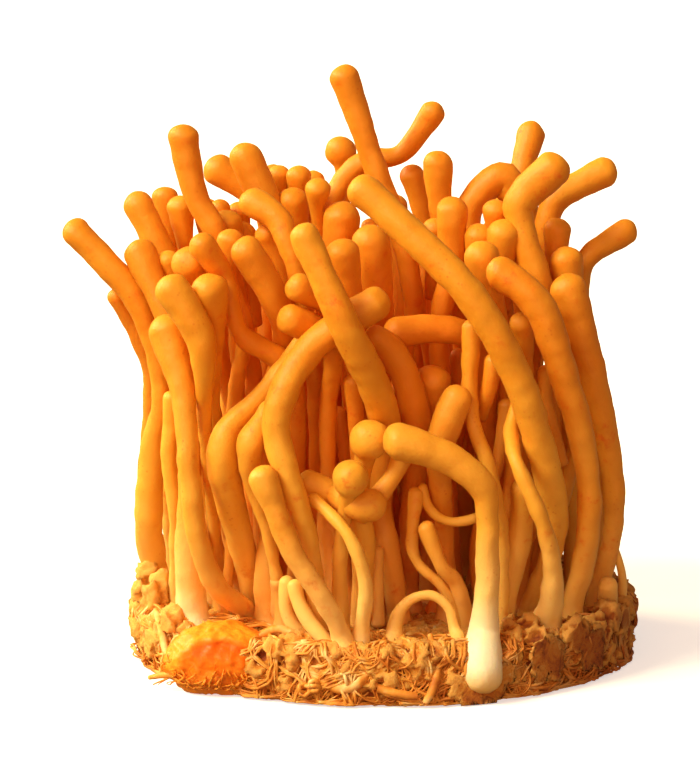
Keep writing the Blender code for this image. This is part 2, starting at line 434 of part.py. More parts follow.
class Crowd:
    """All limbs together, with samples between their rings, for moving neighbours clear."""

    def __init__(self, limbs, fixed):
        self.limbs = limbs
        starts = np.cumsum([0] + [len(rings) for _, _, rings in limbs])
        self.slices = [slice(a, b) for a, b in zip(starts[:-1], starts[1:])]
        self.rings = np.vstack([rings for _, _, rings in limbs])
        self.start = self.rings[:, :3].copy()
        first, second, share, owner, node, free = [], [], [], [], [], []
        names = sorted({name for name, _, _ in limbs})
        for index, (name, seen, rings) in enumerate(limbs):
            base = self.slices[index].start
            for ring in range(len(rings) - 1):
                length = np.linalg.norm(rings[ring + 1, :3] - rings[ring, :3])
                count = max(1, int(round(length / SAMPLE_STEP)))
                for part in range(count):
                    first.append(base + ring)
                    second.append(base + ring + 1)
                    share.append((part + 0.5) / count)
                    owner.append(index)
                    node.append(names.index(name))
                    free.append((ring + share[-1]) / (len(rings) - 1) > seen)
        self.first, self.second, self.share = np.array(first), np.array(second), np.array(share)
        self.owner, self.node = np.array(owner), np.array(node)
        self.free = np.array(free)
        self.fixed = np.array(fixed)
        eye = np.array((AIM_ACROSS, -VIEW_DISTANCE * math.cos(VIEW_TILT),
                        AIM_UP + VIEW_DISTANCE * math.sin(VIEW_TILT)))
        self.sight = self.start - eye
        self.sight /= np.linalg.norm(self.sight, axis=1)[:, None]
        self.rank = None

    def samples(self):
        share = self.share[:, None]
        return self.rings[self.first] * (1 - share) + self.rings[self.second] * share

    def sweep(self):
        """Moves overlapping samples apart once, and tells how deep the worst overlap was."""
        spots = self.samples()
        where, radius = spots[:, :3], spots[:, 3] / 2
        low, high = self.pairs
        apart = where[low] - where[high]
        distance = np.linalg.norm(apart, axis=1) + 1e-6
        over = radius[low] + radius[high] + GAP + SPARE - distance
        hit = over > 0
        low, high, over = low[hit], high[hit], over[hit]
        line = apart[hit] / distance[hit][:, None]
        order = self.order[hit]
        worst = over.max() if len(over) else 0.0
        move = np.zeros((len(self.rings), 3))
        weight = np.zeros(len(self.rings)) + 1e-6
        for side, sign in ((low, 1.0), (high, -1.0)):
            sight = self.sight[self.first[side]]
            along = np.sum(line * sight, axis=1)
            toward = np.where(np.abs(along) > SIDE_ON, np.sign(along), order)
            far = np.minimum(over / np.maximum(np.abs(along), LEAST_ALONG), LONGEST_PUSH)
            seen_push = sight * (sign * toward * far)[:, None]
            free_push = line * (sign * over)[:, None] * HIDDEN_ASIDE + (1 - HIDDEN_ASIDE) * seen_push
            push = np.where(self.free[side][:, None], free_push, seen_push) * EACH_SIDE
            for ring, part in ((self.first[side], 1 - self.share[side]), (self.second[side], self.share[side])):
                np.add.at(move, ring, push * (part * over)[:, None])
                np.add.at(weight, ring, part * over)
        self.rings[:, :3] += move / weight[:, None] * EASE
        self.hold_shape()
        return worst

    def hold_shape(self):
        """Evens out each limb's shift, keeps it on and above the mat and clear of fixed lumps."""
        shift = self.rings[:, :3] - self.start
        floor = MAT_TOP + GAP + self.rings[:, 3] / 2
        limit = MAT_RADIUS * MAT_LEVELS[-1][1] - 0.5
        for (name, _, rings), part in zip(self.limbs, self.slices):
            if len(rings) == 2:
                self.rings[part, :3] = self.start[part]
                continue
            own = shift[part]
            own[1:-1] += SMOOTHING * ((own[:-2] + own[2:]) / 2 - own[1:-1])
            own[:2] = own[2] * 0.5 + own[:2] * 0.5
            self.rings[part, :3] = self.start[part] + own
            body = slice(part.start + (2 if name == ARCH_NAME else 0), part.stop - 2)
            self.rings[body, 2] = np.maximum(self.rings[body, 2], floor[body])
            feet = [(part.stop - 1, part.stop - 2)]
            if name == ARCH_NAME:
                feet.append((part.start, part.start + 1))
            for foot, above in feet:
                if name in CLUSTERS or name in BACK_CLUSTERS:
                    self.rings[above, :2] = self.start[above, :2]
                reach = math.hypot(self.rings[above, 0], self.rings[above, 1])
                allowed = limit - self.rings[above, 3] / 2
                if reach > allowed:
                    self.rings[above, :2] *= allowed / reach
                self.rings[foot, :2] = self.rings[above, :2]
                self.rings[foot, 2] = MAT_TOP + GAP
                self.rings[above, 2] = MAT_TOP + GAP + FOOT_RISE
        for x, y, z, radius in self.fixed:
            gone = self.rings[:, :3] - (x, y, z)
            distance = np.linalg.norm(gone, axis=1)
            short = radius + self.rings[:, 3] / 2 + GAP - distance
            near = short > 0
            gone[:, 2] = np.maximum(gone[:, 2], 0)
            self.rings[near, :3] += gone[near] / distance[near][:, None] * short[near][:, None]

    def find_pairs(self):
        spots = self.samples()
        where, radius = spots[:, :3].astype(np.float32), spots[:, 3] / 2
        square = np.sum(where ** 2, axis=1)
        near = square[:, None] + square[None, :] - 2 * where @ where.T
        reach = radius[:, None] + radius[None, :] + REACH
        apart = self.node[:, None] != self.node[None, :]
        high = where[:, 2] > MAT_TOP + SHARED_FOOT
        apart |= (self.owner[:, None] != self.owner[None, :]) & high[:, None] & high[None, :]
        close = (near < reach ** 2) & apart
        self.pairs = np.nonzero(np.triu(close))
        if self.rank is None:
            self.rank = self.start_depth()
        low, high = self.pairs
        ahead = self.rank[low] - self.rank[high]
        self.order = np.where(ahead >= 0, 1.0, -1.0)

    def start_depth(self):
        return (self.rings[self.first, 1] * (1 - self.share) + self.rings[self.second, 1] * self.share)

    def settle(self):
        for index in range(SWEEPS):
            if index % PAIRS_EVERY == 0:
                self.find_pairs()
            worst = self.sweep()
            if worst < SETTLED:
                break
        return [(name, self.rings[part]) for (name, _, _), part in zip(self.limbs, self.slices)]


def flesh_material(name, colour, roughness):
    material = bpy.data.materials.new(name)
    material.use_nodes = True
    principled = material.node_tree.nodes["Principled BSDF"]
    principled.inputs["Base Color"].default_value = (*colour, 1.0)
    principled.inputs["Roughness"].default_value = roughness
    principled.inputs["Metallic"].default_value = 0.0
    return material


def limb_mesh(name, rings, resolution=SIDES_RESOLUTION):
    """Closed tube through the rings, from a curve with filled caps."""
    curve = bpy.data.curves.new(name, "CURVE")
    curve.dimensions = "3D"
    curve.bevel_depth = MM
    curve.bevel_resolution = resolution
    curve.use_fill_caps = True
    spline = curve.splines.new("POLY")
    spline.points.add(len(rings) - 1)
    for point, (x, y, z, diameter) in zip(spline.points, rings):
        point.co = (x * MM, y * MM, z * MM, 1.0)
        point.radius = diameter / 2
    guide = bpy.data.objects.new(name + "_guide", curve)
    bpy.context.scene.collection.objects.link(guide)
    bpy.context.view_layer.update()
    evaluated = guide.evaluated_get(bpy.context.evaluated_depsgraph_get())
    mesh = bpy.data.meshes.new_from_object(evaluated)
    bpy.data.objects.remove(guide)
    bpy.data.curves.remove(curve)
    work = bmesh.new()
    work.from_mesh(mesh)
    bmesh.ops.remove_doubles(work, verts=work.verts, dist=0.00001)
    bmesh.ops.recalc_face_normals(work, faces=work.faces)
    work.to_mesh(mesh)
    work.free()
    return mesh


def add_part(collection, name, mesh, material):
    mesh.materials.clear()
    mesh.materials.append(material)
    part = bpy.data.objects.new(name, mesh)
    mesh.name = name
    collection.objects.link(part)
    return part


def unite(body, cutters, cutter_collection):
    """Joins the cutter meshes into a part with exact unions."""
    for index, mesh in enumerate(cutters):
        cutter = bpy.data.objects.new(f"{body.name}_join_{index}", mesh)
        cutter.hide_render = True
        cutter.display_type = "WIRE"
        cutter_collection.objects.link(cutter)
        union = body.modifiers.new(f"join_{index}", "BOOLEAN")
        union.operation = "UNION"
        union.solver = "EXACT"
        union.object = cutter


def foot_mesh(name, x, y, radius):
    """Low blunt cone that a cluster's stromata rise from, cut flat on the mat."""
    work = bmesh.new()
    place = Matrix.Translation(Vector((x, y, MAT_TOP + GAP + CONE_HEIGHT / 2)) * MM)
    bmesh.ops.create_cone(work, cap_ends=True, segments=CONE_SIDES, radius1=radius * MM,
                          radius2=CONE_TOP_SHARE * radius * MM, depth=CONE_HEIGHT * MM, matrix=place)
    mesh = bpy.data.meshes.new(name)
    work.to_mesh(mesh)
    work.free()
    return mesh


def lump_mesh(name, centre, size):
    """Ellipsoid lump, as the lobe and the bulge are before they join the mat."""
    work = bmesh.new()
    bmesh.ops.create_uvsphere(work, u_segments=LUMP_SEGMENTS, v_segments=LUMP_ROWS, radius=1.0)
    for vert in work.verts:
        vert.co = Vector([(c + s * v) * MM for c, s, v in zip(centre, size, vert.co)])
    mesh = bpy.data.meshes.new(name)
    work.to_mesh(mesh)
    work.free()
    return mesh


def rim_swell(angle, height):
    """How far the mat's torn rim stands out at an angle: lumps of a few millimetres' width."""
    return MAT_ROUGHNESS * (math.sin(7 * angle + 1.3) + 0.7 * math.sin(17 * angle + height)
                            + 0.5 * math.sin(29 * angle - 2 * height))


def mat_mesh():
    """Round mat: rings of its rim bridged up, with a flat underside and a flat top."""
    work = bmesh.new()
    loops = []
    for height, share in MAT_LEVELS:
        loop = []
        for side in range(MAT_SIDES):
            angle = 2 * math.pi * side / MAT_SIDES
            radius = MAT_RADIUS * share - 0.4
            if 0 < height < MAT_TOP:
                radius += rim_swell(angle, height)
            loop.append(work.verts.new((radius * math.cos(angle) * MM, radius * math.sin(angle) * MM,
                                        height * MM)))
        loops.append([work.edges.new((loop[i], loop[(i + 1) % MAT_SIDES])) for i in range(MAT_SIDES)])
    for lower, upper in zip(loops[:-1], loops[1:]):
        bmesh.ops.bridge_loops(work, edges=lower + upper)
    bmesh.ops.edgeloop_fill(work, edges=loops[0])
    bmesh.ops.edgeloop_fill(work, edges=loops[-1])
    bmesh.ops.recalc_face_normals(work, faces=work.faces)
    mesh = bpy.data.meshes.new("substrate_mat")
    work.to_mesh(mesh)
    work.free()
    return mesh


def build():
    clear_scene()
    parts = bpy.data.collections.new("cordyceps_clump")
    cutters = bpy.data.collections.new("cordyceps_clump_cutters")
    for collection in (parts, cutters):
        bpy.context.scene.collection.children.link(collection)
    orange = flesh_material("fresh_stroma_flesh", (0.92, 0.38, 0.05), 0.55)
    fibrous = flesh_material("rooted_substrate", (0.62, 0.37, 0.16), 0.9)

    mat = add_part(parts, "substrate_mat", mat_mesh(), fibrous)
    unite(mat, [lump_mesh("orange_lobe", LOBE_CENTRE, LOBE_SIZE),
                lump_mesh("foot_bulge", FOOT_BULGE_CENTRE, FOOT_BULGE_SIZE)], cutters)

    limbs = all_limbs()
    limbs.append((ARCH_NAME, 1.0, arch_rings()))
    fixed = [(LOBE_CENTRE[0] + side * LOBE_GUARD_SPREAD, LOBE_CENTRE[1], LOBE_GUARD_HEIGHT, LOBE_GUARD_RADIUS)
             for side in (-1, 0, 1)]
    shared_feet = {name: place[:3] for name, place in {**CLUSTERS, **BACK_CLUSTERS}.items()}
    for name, (foot_x, foot_y, foot_radius) in shared_feet.items():
        foot = np.array([(foot_x, foot_y, MAT_TOP + GAP + CONE_HEIGHT, 2 * CONE_GUARD_SHARE * foot_radius),
                         (foot_x, foot_y, MAT_TOP + GAP, 2 * foot_radius)])
        limbs.append((name, 1.0, foot))
    settled = Crowd(limbs, fixed).settle()
    members = {}
    for name, rings in settled:
        members.setdefault(name, []).append(rings)
    seen_shares = {name: seen for name, seen, _ in limbs}
    for name, group in members.items():
        if name in shared_feet:
            part = add_part(parts, name, foot_mesh(name, *shared_feet[name]), orange)
            for rings in group:
                rings[-1, 2] += SUNK_FOOT
            unite(part, [limb_mesh(f"{name}_{i}", rings, CLUSTER_RESOLUTION)
                         for i, rings in enumerate(group[:-1])], cutters)
        else:
            sides = SIDES_RESOLUTION if seen_shares[name] > MOSTLY_SEEN else CLUSTER_RESOLUTION
            part = add_part(parts, name, limb_mesh(name, group[0], sides), orange)
        part.data.shade_smooth()


build()
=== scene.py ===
"""Cordyceps mushroom clump as lifted from its culture jar: orange stromata on a fibrous mat."""
import math
import random

import bmesh
import bpy
import numpy as np
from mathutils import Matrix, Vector


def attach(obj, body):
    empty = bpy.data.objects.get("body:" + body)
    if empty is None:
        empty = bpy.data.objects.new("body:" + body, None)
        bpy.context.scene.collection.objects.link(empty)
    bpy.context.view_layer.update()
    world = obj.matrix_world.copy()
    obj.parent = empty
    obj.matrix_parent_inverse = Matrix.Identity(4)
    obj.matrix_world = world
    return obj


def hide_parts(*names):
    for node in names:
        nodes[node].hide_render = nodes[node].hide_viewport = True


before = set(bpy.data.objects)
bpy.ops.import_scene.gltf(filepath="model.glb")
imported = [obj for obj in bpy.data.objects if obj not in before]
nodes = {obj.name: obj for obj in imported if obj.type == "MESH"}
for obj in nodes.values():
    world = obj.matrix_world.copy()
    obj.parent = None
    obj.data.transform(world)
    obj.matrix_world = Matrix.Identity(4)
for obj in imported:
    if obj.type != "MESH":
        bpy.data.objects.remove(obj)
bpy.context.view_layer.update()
MM = 0.001

# Studio and camera
# White paper that runs out of sight, a large soft key light at the upper left, a warm fill low in
# front and a rim light behind at the left. The camera looks down a little, as in the photograph.
# Metres, with the height of the view taken at the aim
CAMERA_DISTANCE = 0.600
CAMERA_TILT = math.radians(10)
CAMERA_AIM = Vector((-0.0051, 0.0, 0.0398))
VIEW_HEIGHT = 0.1158
SENSOR = 36.0
FLOOR_SIZE = 12.0
FLOOR_DROP = 0.0002
FLOOR_WHITE = 0.93
FLOOR_GLOW = 0.56
WORLD_STRENGTH = 0.33
WORLD_TINT = "#FFCE9A"


def linear(hex_colour):
    """Linear RGBA of an sRGB hex colour."""
    parts = [int(hex_colour[i:i + 2], 16) / 255 for i in (1, 3, 5)]
    return (*(p / 12.92 if p <= 0.04045 else ((p + 0.055) / 1.055) ** 2.4 for p in parts), 1.0)


def set_node(tree, node, settings=None, links=None):
    """Sets a node's properties or inputs, and links outputs into its inputs."""
    for key, value in (settings or {}).items():
        if isinstance(key, int) or key in node.inputs:
            node.inputs[key].default_value = value
        else:
            setattr(node, key, value)
    for key, output in (links or {}).items():
        tree.links.new(output, node.inputs[key])
    return node


def add_node(tree, kind, settings=None, links=None):
    """Adds one node and sets it."""
    return set_node(tree, tree.nodes.new(kind), settings, links)


def new_material(name):
    """A material with its Principled shader, and its node tree."""
    material = bpy.data.materials.new(name)
    material.use_nodes = True
    tree = material.node_tree
    return material, tree, tree.nodes["Principled BSDF"]


camera_data = bpy.data.cameras.new("camera")
camera_data.lens = SENSOR * CAMERA_DISTANCE / VIEW_HEIGHT
camera_data.sensor_width = SENSOR
camera_data.clip_start = 0.01
camera = bpy.data.objects.new("camera", camera_data)
bpy.context.scene.collection.objects.link(camera)
towards_camera = Vector((0, -math.cos(CAMERA_TILT), math.sin(CAMERA_TILT)))
camera.location = CAMERA_AIM + CAMERA_DISTANCE * towards_camera
camera.rotation_euler = (math.pi / 2 - CAMERA_TILT, 0, 0)
bpy.context.scene.camera = camera

bpy.ops.mesh.primitive_plane_add(size=FLOOR_SIZE, location=(0, 0, -FLOOR_DROP))
floor = bpy.context.object
floor.name = "studio_floor"
# Matt white paper with a faint glow of its own: an even white with only a soft shadow on it
floor_paint, tree, shader = new_material("white_studio_paper")
set_node(tree, shader, {"Base Color": (FLOOR_WHITE, FLOOR_WHITE, FLOOR_WHITE, 1), "Roughness": 0.9,
                        "Emission Color": (1, 1, 1, 1), "Emission Strength": FLOOR_GLOW})
floor.data.materials.append(floor_paint)
floor.visible_diffuse = False
floor.visible_glossy = False

world = bpy.data.worlds.new("studio_white")
world.use_nodes = True
world.node_tree.nodes["Background"].inputs["Color"].default_value = linear(WORLD_TINT)
world.node_tree.nodes["Background"].inputs["Strength"].default_value = WORLD_STRENGTH
bpy.context.scene.world = world
bpy.context.scene.view_settings.view_transform = "Standard"

# name: (comes from, softness in degrees, strength, colour)
LIGHTS = {
    "key_softbox": ((-0.80, -0.55, 0.85), 26, 3.9, "#FFF6C8"),
    "front_fill": ((-0.15, -1.0, 0.22), 50, 1.35, "#FFC080"),
    "rim_softbox": ((-0.90, 0.42, 0.50), 22, 3.7, "#FFE6A8"),
}
for light_name, (comes_from, softness, strength, tint) in LIGHTS.items():
    light_data = bpy.data.lights.new(light_name, "SUN")
    light_data.angle = math.radians(softness)
    light_data.energy = strength
    light_data.color = linear(tint)[:3]
    light = bpy.data.objects.new(light_name, light_data)
    light.rotation_euler = (-Vector(comes_from)).to_track_quat("-Z", "Y").to_euler()
    bpy.context.scene.collection.objects.link(light)

# Stromata
# The fruit bodies: firm, slender, club-headed threads of orange flesh with a fine-grained skin, grown
# up out of the mat. Each is drawn along the middle line of its solid, with a round head, slow swells,
# a fine grain and shallow pits in the mesh itself.
MAT_TOP = 7.5 * MM
SIDES = 24
STEP = 0.6 * MM
# A solid's end is a face with one of these numbers of corners, equally far out to within 6%
CAP_CORNERS = (6, 8)
CAP_EVENNESS = 1.06
WELD = 0.02 * MM
FLAT_WITHIN = math.radians(0.6)
FOOT_SLICE = 0.3 * MM
# A second ring thinner than this share of the head belongs to the solid's own dome, and is left out
DOME_SHARE = 0.92
HEAD_STEPS = 9
TIP_ANGLE = 0.12
LUMP_WIDTH = 3.4 * MM
LUMP_HEIGHT = 0.50 * MM
GRAIN_WIDTH = 0.75 * MM
GRAIN_HEIGHT = 0.09 * MM
FLARE_HEIGHT = 1.5 * MM
FLARE_SHARE = 0.45
FOOT_GATHER = 0.35
ROOT_DEPTH = 0.5 * MM
CLUB_SHARE = 0.13
CLUB_LENGTH = 2.2
# How pale a foot is, from 0 to 1, and how far up its stalk that reaches
PALE_FEET = {"stroma_white_foot": 0.95, "stroma_left_cream": 0.8, "stroma_right_flared": 0.6,
             "stroma_front_pale": 0.6, "stroma_front_leaning": 0.45, "root_arch": 0.3}
PALE_OTHERS = 0.18
PALE_REACH = 18 * MM
PALE_CURVE = 1.1
# The white foot swells and hangs over the rim: (x, y, z, radius) in mm
WHITE_BULB = ((14.0, -32.2, 9.6, 2.3), (13.8, -33.5, 7.4, 2.75), (13.7, -34.4, 5.4, 3.15),
              (13.6, -34.7, 3.6, 3.1), (13.6, -34.7, 2.4, 2.6), (13.6, -34.7, 1.6, 1.6))
BULB_FROM = 11.5 * MM
# What hangs below this height keeps less of its paleness towards the table, down to the share below
PALENESS_FADE_TOP = MAT_TOP - 1.5 * MM
BULB_LOWEST_PALENESS = 0.2
BALL_HEADS = {"stroma_round_knob", "stroma_round_knob_low", "stroma_round_knob_high"}
NECK_SHARE = 0.72
BALL_SWELL = 0.97
# A limb's tone comes from its foot's place, and is weaker over the first 8 mm from its tip
TONE_RANGE = 0.35
TONE_TURNS = (1900, 3100)
TIP_TONE = 0.6
TIP_REACH = 8 * MM


def middle_lines(node_name):
    """Middle lines of a node's limbs, head first, as arrays of (x, y, z, radius)."""
    work = bmesh.new()
    work.from_mesh(nodes[node_name].data)
    bmesh.ops.remove_doubles(work, verts=work.verts, dist=WELD)
    work.verts.ensure_lookup_table()
    neighbours = {v.index: {e.other_vert(v).index for e in v.link_edges} for v in work.verts}
    places = {v.index: v.co.copy() for v in work.verts}
    bmesh.ops.dissolve_limit(work, angle_limit=FLAT_WITHIN, verts=work.verts, edges=work.edges)
    # Corners are known again by their place, in hundredths of a millimetre
    by_place = {tuple(round(c * 1e5) for c in co): index for index, co in places.items()}
    caps = []
    for face in work.faces:
        if len(face.verts) in CAP_CORNERS:
            reach = [(v.co - face.calc_center_median()).length for v in face.verts]
            if max(reach) < CAP_EVENNESS * min(reach):
                caps.append([by_place[tuple(round(c * 1e5) for c in v.co)] for v in face.verts])
    work.free()
    lines, used = [], set()
    caps.sort(key=lambda cap: -places[cap[0]].z)
    for cap in caps:
        if cap[0] in used:
            continue
        layer, seen, rings = set(cap), set(cap), []
        while len(layer) == len(cap):
            points = np.array([places[i] for i in layer])
            centre = points.mean(axis=0)
            rings.append((*centre, np.linalg.norm(points - centre, axis=1).mean()))
            layer = {other for i in layer for other in neighbours[i]} - seen
            seen |= layer
        used |= seen
        if len(rings) > 2:
            lines.append(np.array(rings))
    lowest = min(co.z for co in places.values())
    foot = np.mean([co[:] for co in places.values() if co.z < lowest + FOOT_SLICE], axis=0)
    return [rooted(line, foot) for line in lines]


def rooted(line, foot):
    """The line led on down to the mat, towards the node's own foot where it stops above it."""
    end = line[-1].copy()
    if end[2] > MAT_TOP + 2 * MM:
        end[:2] = foot[:2] + FOOT_GATHER * (end[:2] - foot[:2])
    else:
        line = line[:-1]
    end[2] = MAT_TOP - ROOT_DEPTH
    return np.vstack((line, end))


def smooth_line(rings, step=STEP):
    """Even samples of a centripetal Catmull-Rom curve through the rings."""
    ends = np.vstack((2 * rings[0] - rings[1], rings, 2 * rings[-1] - rings[-2]))
    fine = []
    for index in range(1, len(ends) - 2):
        p0, p1, p2, p3 = ends[index - 1:index + 3]
        knots = [0.0]
        for first, second in ((p0, p1), (p1, p2), (p2, p3)):
            knots.append(knots[-1] + max(np.linalg.norm(second[:3] - first[:3]), 1e-5) ** 0.5)
        t0, t1, t2, t3 = knots
        count = max(2, int(np.linalg.norm(p2[:3] - p1[:3]) / step * 2))
        t = (t1 + np.arange(count) / count * (t2 - t1))[:, None]
        a1 = (t1 - t) / (t1 - t0) * p0 + (t - t0) / (t1 - t0) * p1
        a2 = (t2 - t) / (t2 - t1) * p1 + (t - t1) / (t2 - t1) * p2
        a3 = (t3 - t) / (t3 - t2) * p2 + (t - t2) / (t3 - t2) * p3
        b1 = (t2 - t) / (t2 - t0) * a1 + (t - t0) / (t2 - t0) * a2
        b2 = (t3 - t) / (t3 - t1) * a2 + (t - t1) / (t3 - t1) * a3
        fine.extend((t2 - t) / (t2 - t1) * b1 + (t - t1) / (t2 - t1) * b2)
    fine.append(rings[-1])
    fine = np.array(fine)
    run = np.concatenate(((0,), np.cumsum(np.linalg.norm(np.diff(fine[:, :3], axis=0), axis=1))))
    return fine, run


def limb_samples(rings, flare=FLARE_SHARE):
    """Close samples from the tip down, with the head rounded off as a dome."""
    head_radius = rings[:4, 3].max()
    body = rings[2:] if rings[1, 3] < DOME_SHARE * head_radius else rings[1:]
    tip = rings[0].copy()
    tip[3] = head_radius
    fine, run = smooth_line(np.vstack((tip, body)))
    head = head_radius * (1 - np.cos(np.linspace(TIP_ANGLE, math.pi / 2, HEAD_STEPS)))
    stalk = np.arange(head[-1] + STEP, run[-1] - STEP / 2, STEP)
    along = np.concatenate((head, stalk, (run[-1],)))
    samples = np.column_stack([np.interp(along, run, fine[:, axis]) for axis in range(4)])
    share = np.clip(along / head_radius, 0, 1)
    samples[:, 3] *= np.sqrt(np.clip(1 - (1 - share) ** 2, 0.01, 1))
    samples[:, 3] *= 1 + CLUB_SHARE * np.exp(-((along / head_radius - 1) / CLUB_LENGTH) ** 2)
    above_mat = np.clip(samples[:, 2] - MAT_TOP, 0, None)
    samples[:, 3] *= 1 + flare * np.exp(-above_mat / FLARE_HEIGHT)
    return samples, along


def ball_headed(samples, along):
    """The samples with their head rounded into a ball on a slim neck."""
    samples = samples.copy()
    ball = BALL_SWELL * samples[:HEAD_STEPS + 2, 3].max()
    round_part = np.sqrt(np.clip(ball ** 2 - (along - ball) ** 2, 0, None))
    neck = samples[:, 3] * (NECK_SHARE + (1 - NECK_SHARE) * np.clip((along / ball - 2) / 4, 0, 1))
    samples[:, 3] = np.maximum(round_part, np.where(along < ball, 0.1 * ball, neck))
    return samples


def skin_limb(name, samples, along, sides=SIDES):
    """Mesh of one limb: a bevelled curve through the samples, turned into a mesh."""
    curve = bpy.data.curves.new(name, "CURVE")
    curve.dimensions = "3D"
    curve.bevel_depth = MM
    curve.bevel_resolution = sides // 2 - 2
    curve.use_fill_caps = True
    spline = curve.splines.new("POLY")
    spline.points.add(len(samples) - 1)
    places = np.column_stack((samples[:, :3], np.ones(len(samples))))
    spline.points.foreach_set("co", places.ravel())
    spline.points.foreach_set("radius", samples[:, 3] / MM)
    limb = bpy.data.objects.new(name, curve)
    bpy.context.scene.collection.objects.link(limb)
    bpy.ops.object.select_all(action="DESELECT")
    limb.select_set(True)
    bpy.context.view_layer.objects.active = limb
    bpy.ops.object.convert(target="MESH")
    limb = bpy.context.object
    work = bmesh.new()
    work.from_mesh(limb.data)
    bmesh.ops.remove_doubles(work, verts=work.verts, dist=1e-6)
    work.to_mesh(limb.data)
    work.free()
    coordinates = np.empty(len(limb.data.vertices) * 3)
    limb.data.vertices.foreach_get("co", coordinates)
    coordinates = coordinates.reshape(-1, 3)
    away = ((coordinates[:, None, :] - samples[None, :, :3]) ** 2).sum(axis=2)
    nearest = away.argmin(axis=1)
    turn = TONE_TURNS[0] * samples[-1, 0] + TONE_TURNS[1] * samples[-1, 1]
    own_tone = TONE_RANGE * (0.5 + 0.5 * math.sin(turn))
    from_tip = TIP_TONE + (1 - TIP_TONE) * np.clip(along[nearest] / TIP_REACH, 0, 1)
    tone_values = limb.data.attributes.new("tone", "FLOAT", "POINT")
    tone_values.data.foreach_set("value", own_tone * from_tip)
    return limb


def swell_texture(name, width, depth, kind="CLOUDS"):
    """Noise that modifiers press into a mesh: soft clouds, or sharp ridges."""
    texture = bpy.data.textures.new(name, kind)
    texture.noise_scale = width
    if kind == "CLOUDS":
        texture.noise_depth = depth
    else:
        texture.musgrave_type = "RIDGED_MULTIFRACTAL"
    return texture


lump_texture = swell_texture("slow_swells", LUMP_WIDTH, 1)
grain_texture = swell_texture("skin_grain", GRAIN_WIDTH, 2)


def grow_skin(limb, lump=LUMP_HEIGHT, grain=GRAIN_HEIGHT):
    """Presses slow swells and the fine grain into the mesh."""
    bpy.context.view_layer.objects.active = limb
    for texture, height in ((lump_texture, lump), (grain_texture, grain)):
        press = limb.modifiers.new("press", "DISPLACE")
        press.texture = texture
        press.texture_coords = "GLOBAL"
        press.strength = height
        press.mid_level = 0.5
        bpy.ops.object.modifier_apply(modifier=press.name)
    limb.data.shade_smooth()


def remap(tree, value, from_range, to_range=(0.0, 1.0)):
    """Output that carries a value from one range into another, and holds at its ends."""
    settings = {"From Min": from_range[0], "From Max": from_range[1],
                "To Min": to_range[0], "To Max": to_range[1]}
    return add_node(tree, "ShaderNodeMapRange", settings, {"Value": value}).outputs[0]


def product(tree, first, second):
    """Output of two values multiplied."""
    links = {0: first, 1: second}
    return add_node(tree, "ShaderNodeMath", {"operation": "MULTIPLY"}, links).outputs[0]


def noise(tree, place, scale, detail, roughness=0.5, distortion=0.0):
    """Output of a noise whose largest features are 1 / scale metres wide."""
    settings = {"Scale": scale, "Detail": detail, "Roughness": roughness, "Distortion": distortion}
    return add_node(tree, "ShaderNodeTexNoise", settings, {"Vector": place}).outputs["Fac"]


def lay_over(tree, share, under, colour, blend="MIX"):
    """Output with a share of a hex colour laid over, or multiplied into, the colour under it."""
    settings = {"data_type": "RGBA", "blend_type": blend, 7: linear(colour)}
    return add_node(tree, "ShaderNodeMix", settings, {0: share, 6: under}).outputs[2]


def colour_ramp(tree, value, stops):
    """Colour output of a ramp through (position, hex colour) stops, from low to high."""
    ramp_node = add_node(tree, "ShaderNodeValToRGB", links={"Fac": value})
    elements = ramp_node.color_ramp.elements
    for element, (position, colour) in ((elements[0], stops[0]), (elements[1], stops[-1])):
        element.position, element.color = position, linear(colour)
    for position, colour in stops[1:-1]:
        elements.new(position).color = linear(colour)
    return ramp_node.outputs["Color"]


# Fresh flesh, firm and a little moist: light sinks in and comes back warm, and a broad, soft
# highlight lies over a fine grain
flesh, tree, shader = new_material("fresh_stroma_flesh_fine_grained")
place = add_node(tree, "ShaderNodeTexCoord").outputs["Object"]
apart = add_node(tree, "ShaderNodeSeparateXYZ", links={0: place})
# Slow changes of tone over about 9 mm, and up the stalk from cream at the mat to orange at 50 mm
slow_mottle = noise(tree, place, 110.0, 4.0, 0.6)
lift = remap(tree, apart.outputs["Z"], (0.006, 0.050), (0.0, 0.9))
uneven = add_node(tree, "ShaderNodeMath", {"operation": "MULTIPLY_ADD", 1: 0.7, 2: -0.35},
                  {0: slow_mottle})
level = add_node(tree, "ShaderNodeMath", {"operation": "ADD", "use_clamp": True},
                 {0: lift, 1: uneven.outputs[0]})
body = colour_ramp(tree, level.outputs[0], (
    (0.0, "#F2C468"), (0.14, "#F2BC54"), (0.36, "#EFB444"), (0.62, "#ECAA38"), (0.82, "#E89E2A"),
    (1.0, "#E4901C")))
# Painted shade inside the clump: deeper orange within 28 mm of its middle line and below the heads
radial = add_node(tree, "ShaderNodeCombineXYZ", links={0: apart.outputs["X"], 1: apart.outputs["Y"]})
reach = add_node(tree, "ShaderNodeVectorMath", {"operation": "LENGTH"}, {0: radial.outputs[0]})
inward = remap(tree, reach.outputs["Value"], (0.028, 0.014))
below_heads = remap(tree, apart.outputs["Z"], (0.068, 0.048), (0.12, 1.0))
deep = lay_over(tree, product(tree, inward, below_heads), body, "#EC8416")
# Each limb has its own tone, up to a third of the way to red-orange
tone = add_node(tree, "ShaderNodeAttribute", {"attribute_name": "tone"}).outputs["Fac"]
toned = lay_over(tree, tone, deep, "#DC6E0C")
# Pale feet turn cream, and the palest white
pale = add_node(tree, "ShaderNodeAttribute", {"attribute_name": "pale"}).outputs["Fac"]
creamed = lay_over(tree, remap(tree, pale, (0.0, 0.55)), toned, "#F9D288")
whitened = lay_over(tree, remap(tree, pale, (0.5, 0.9)), creamed, "#FAF0DA")
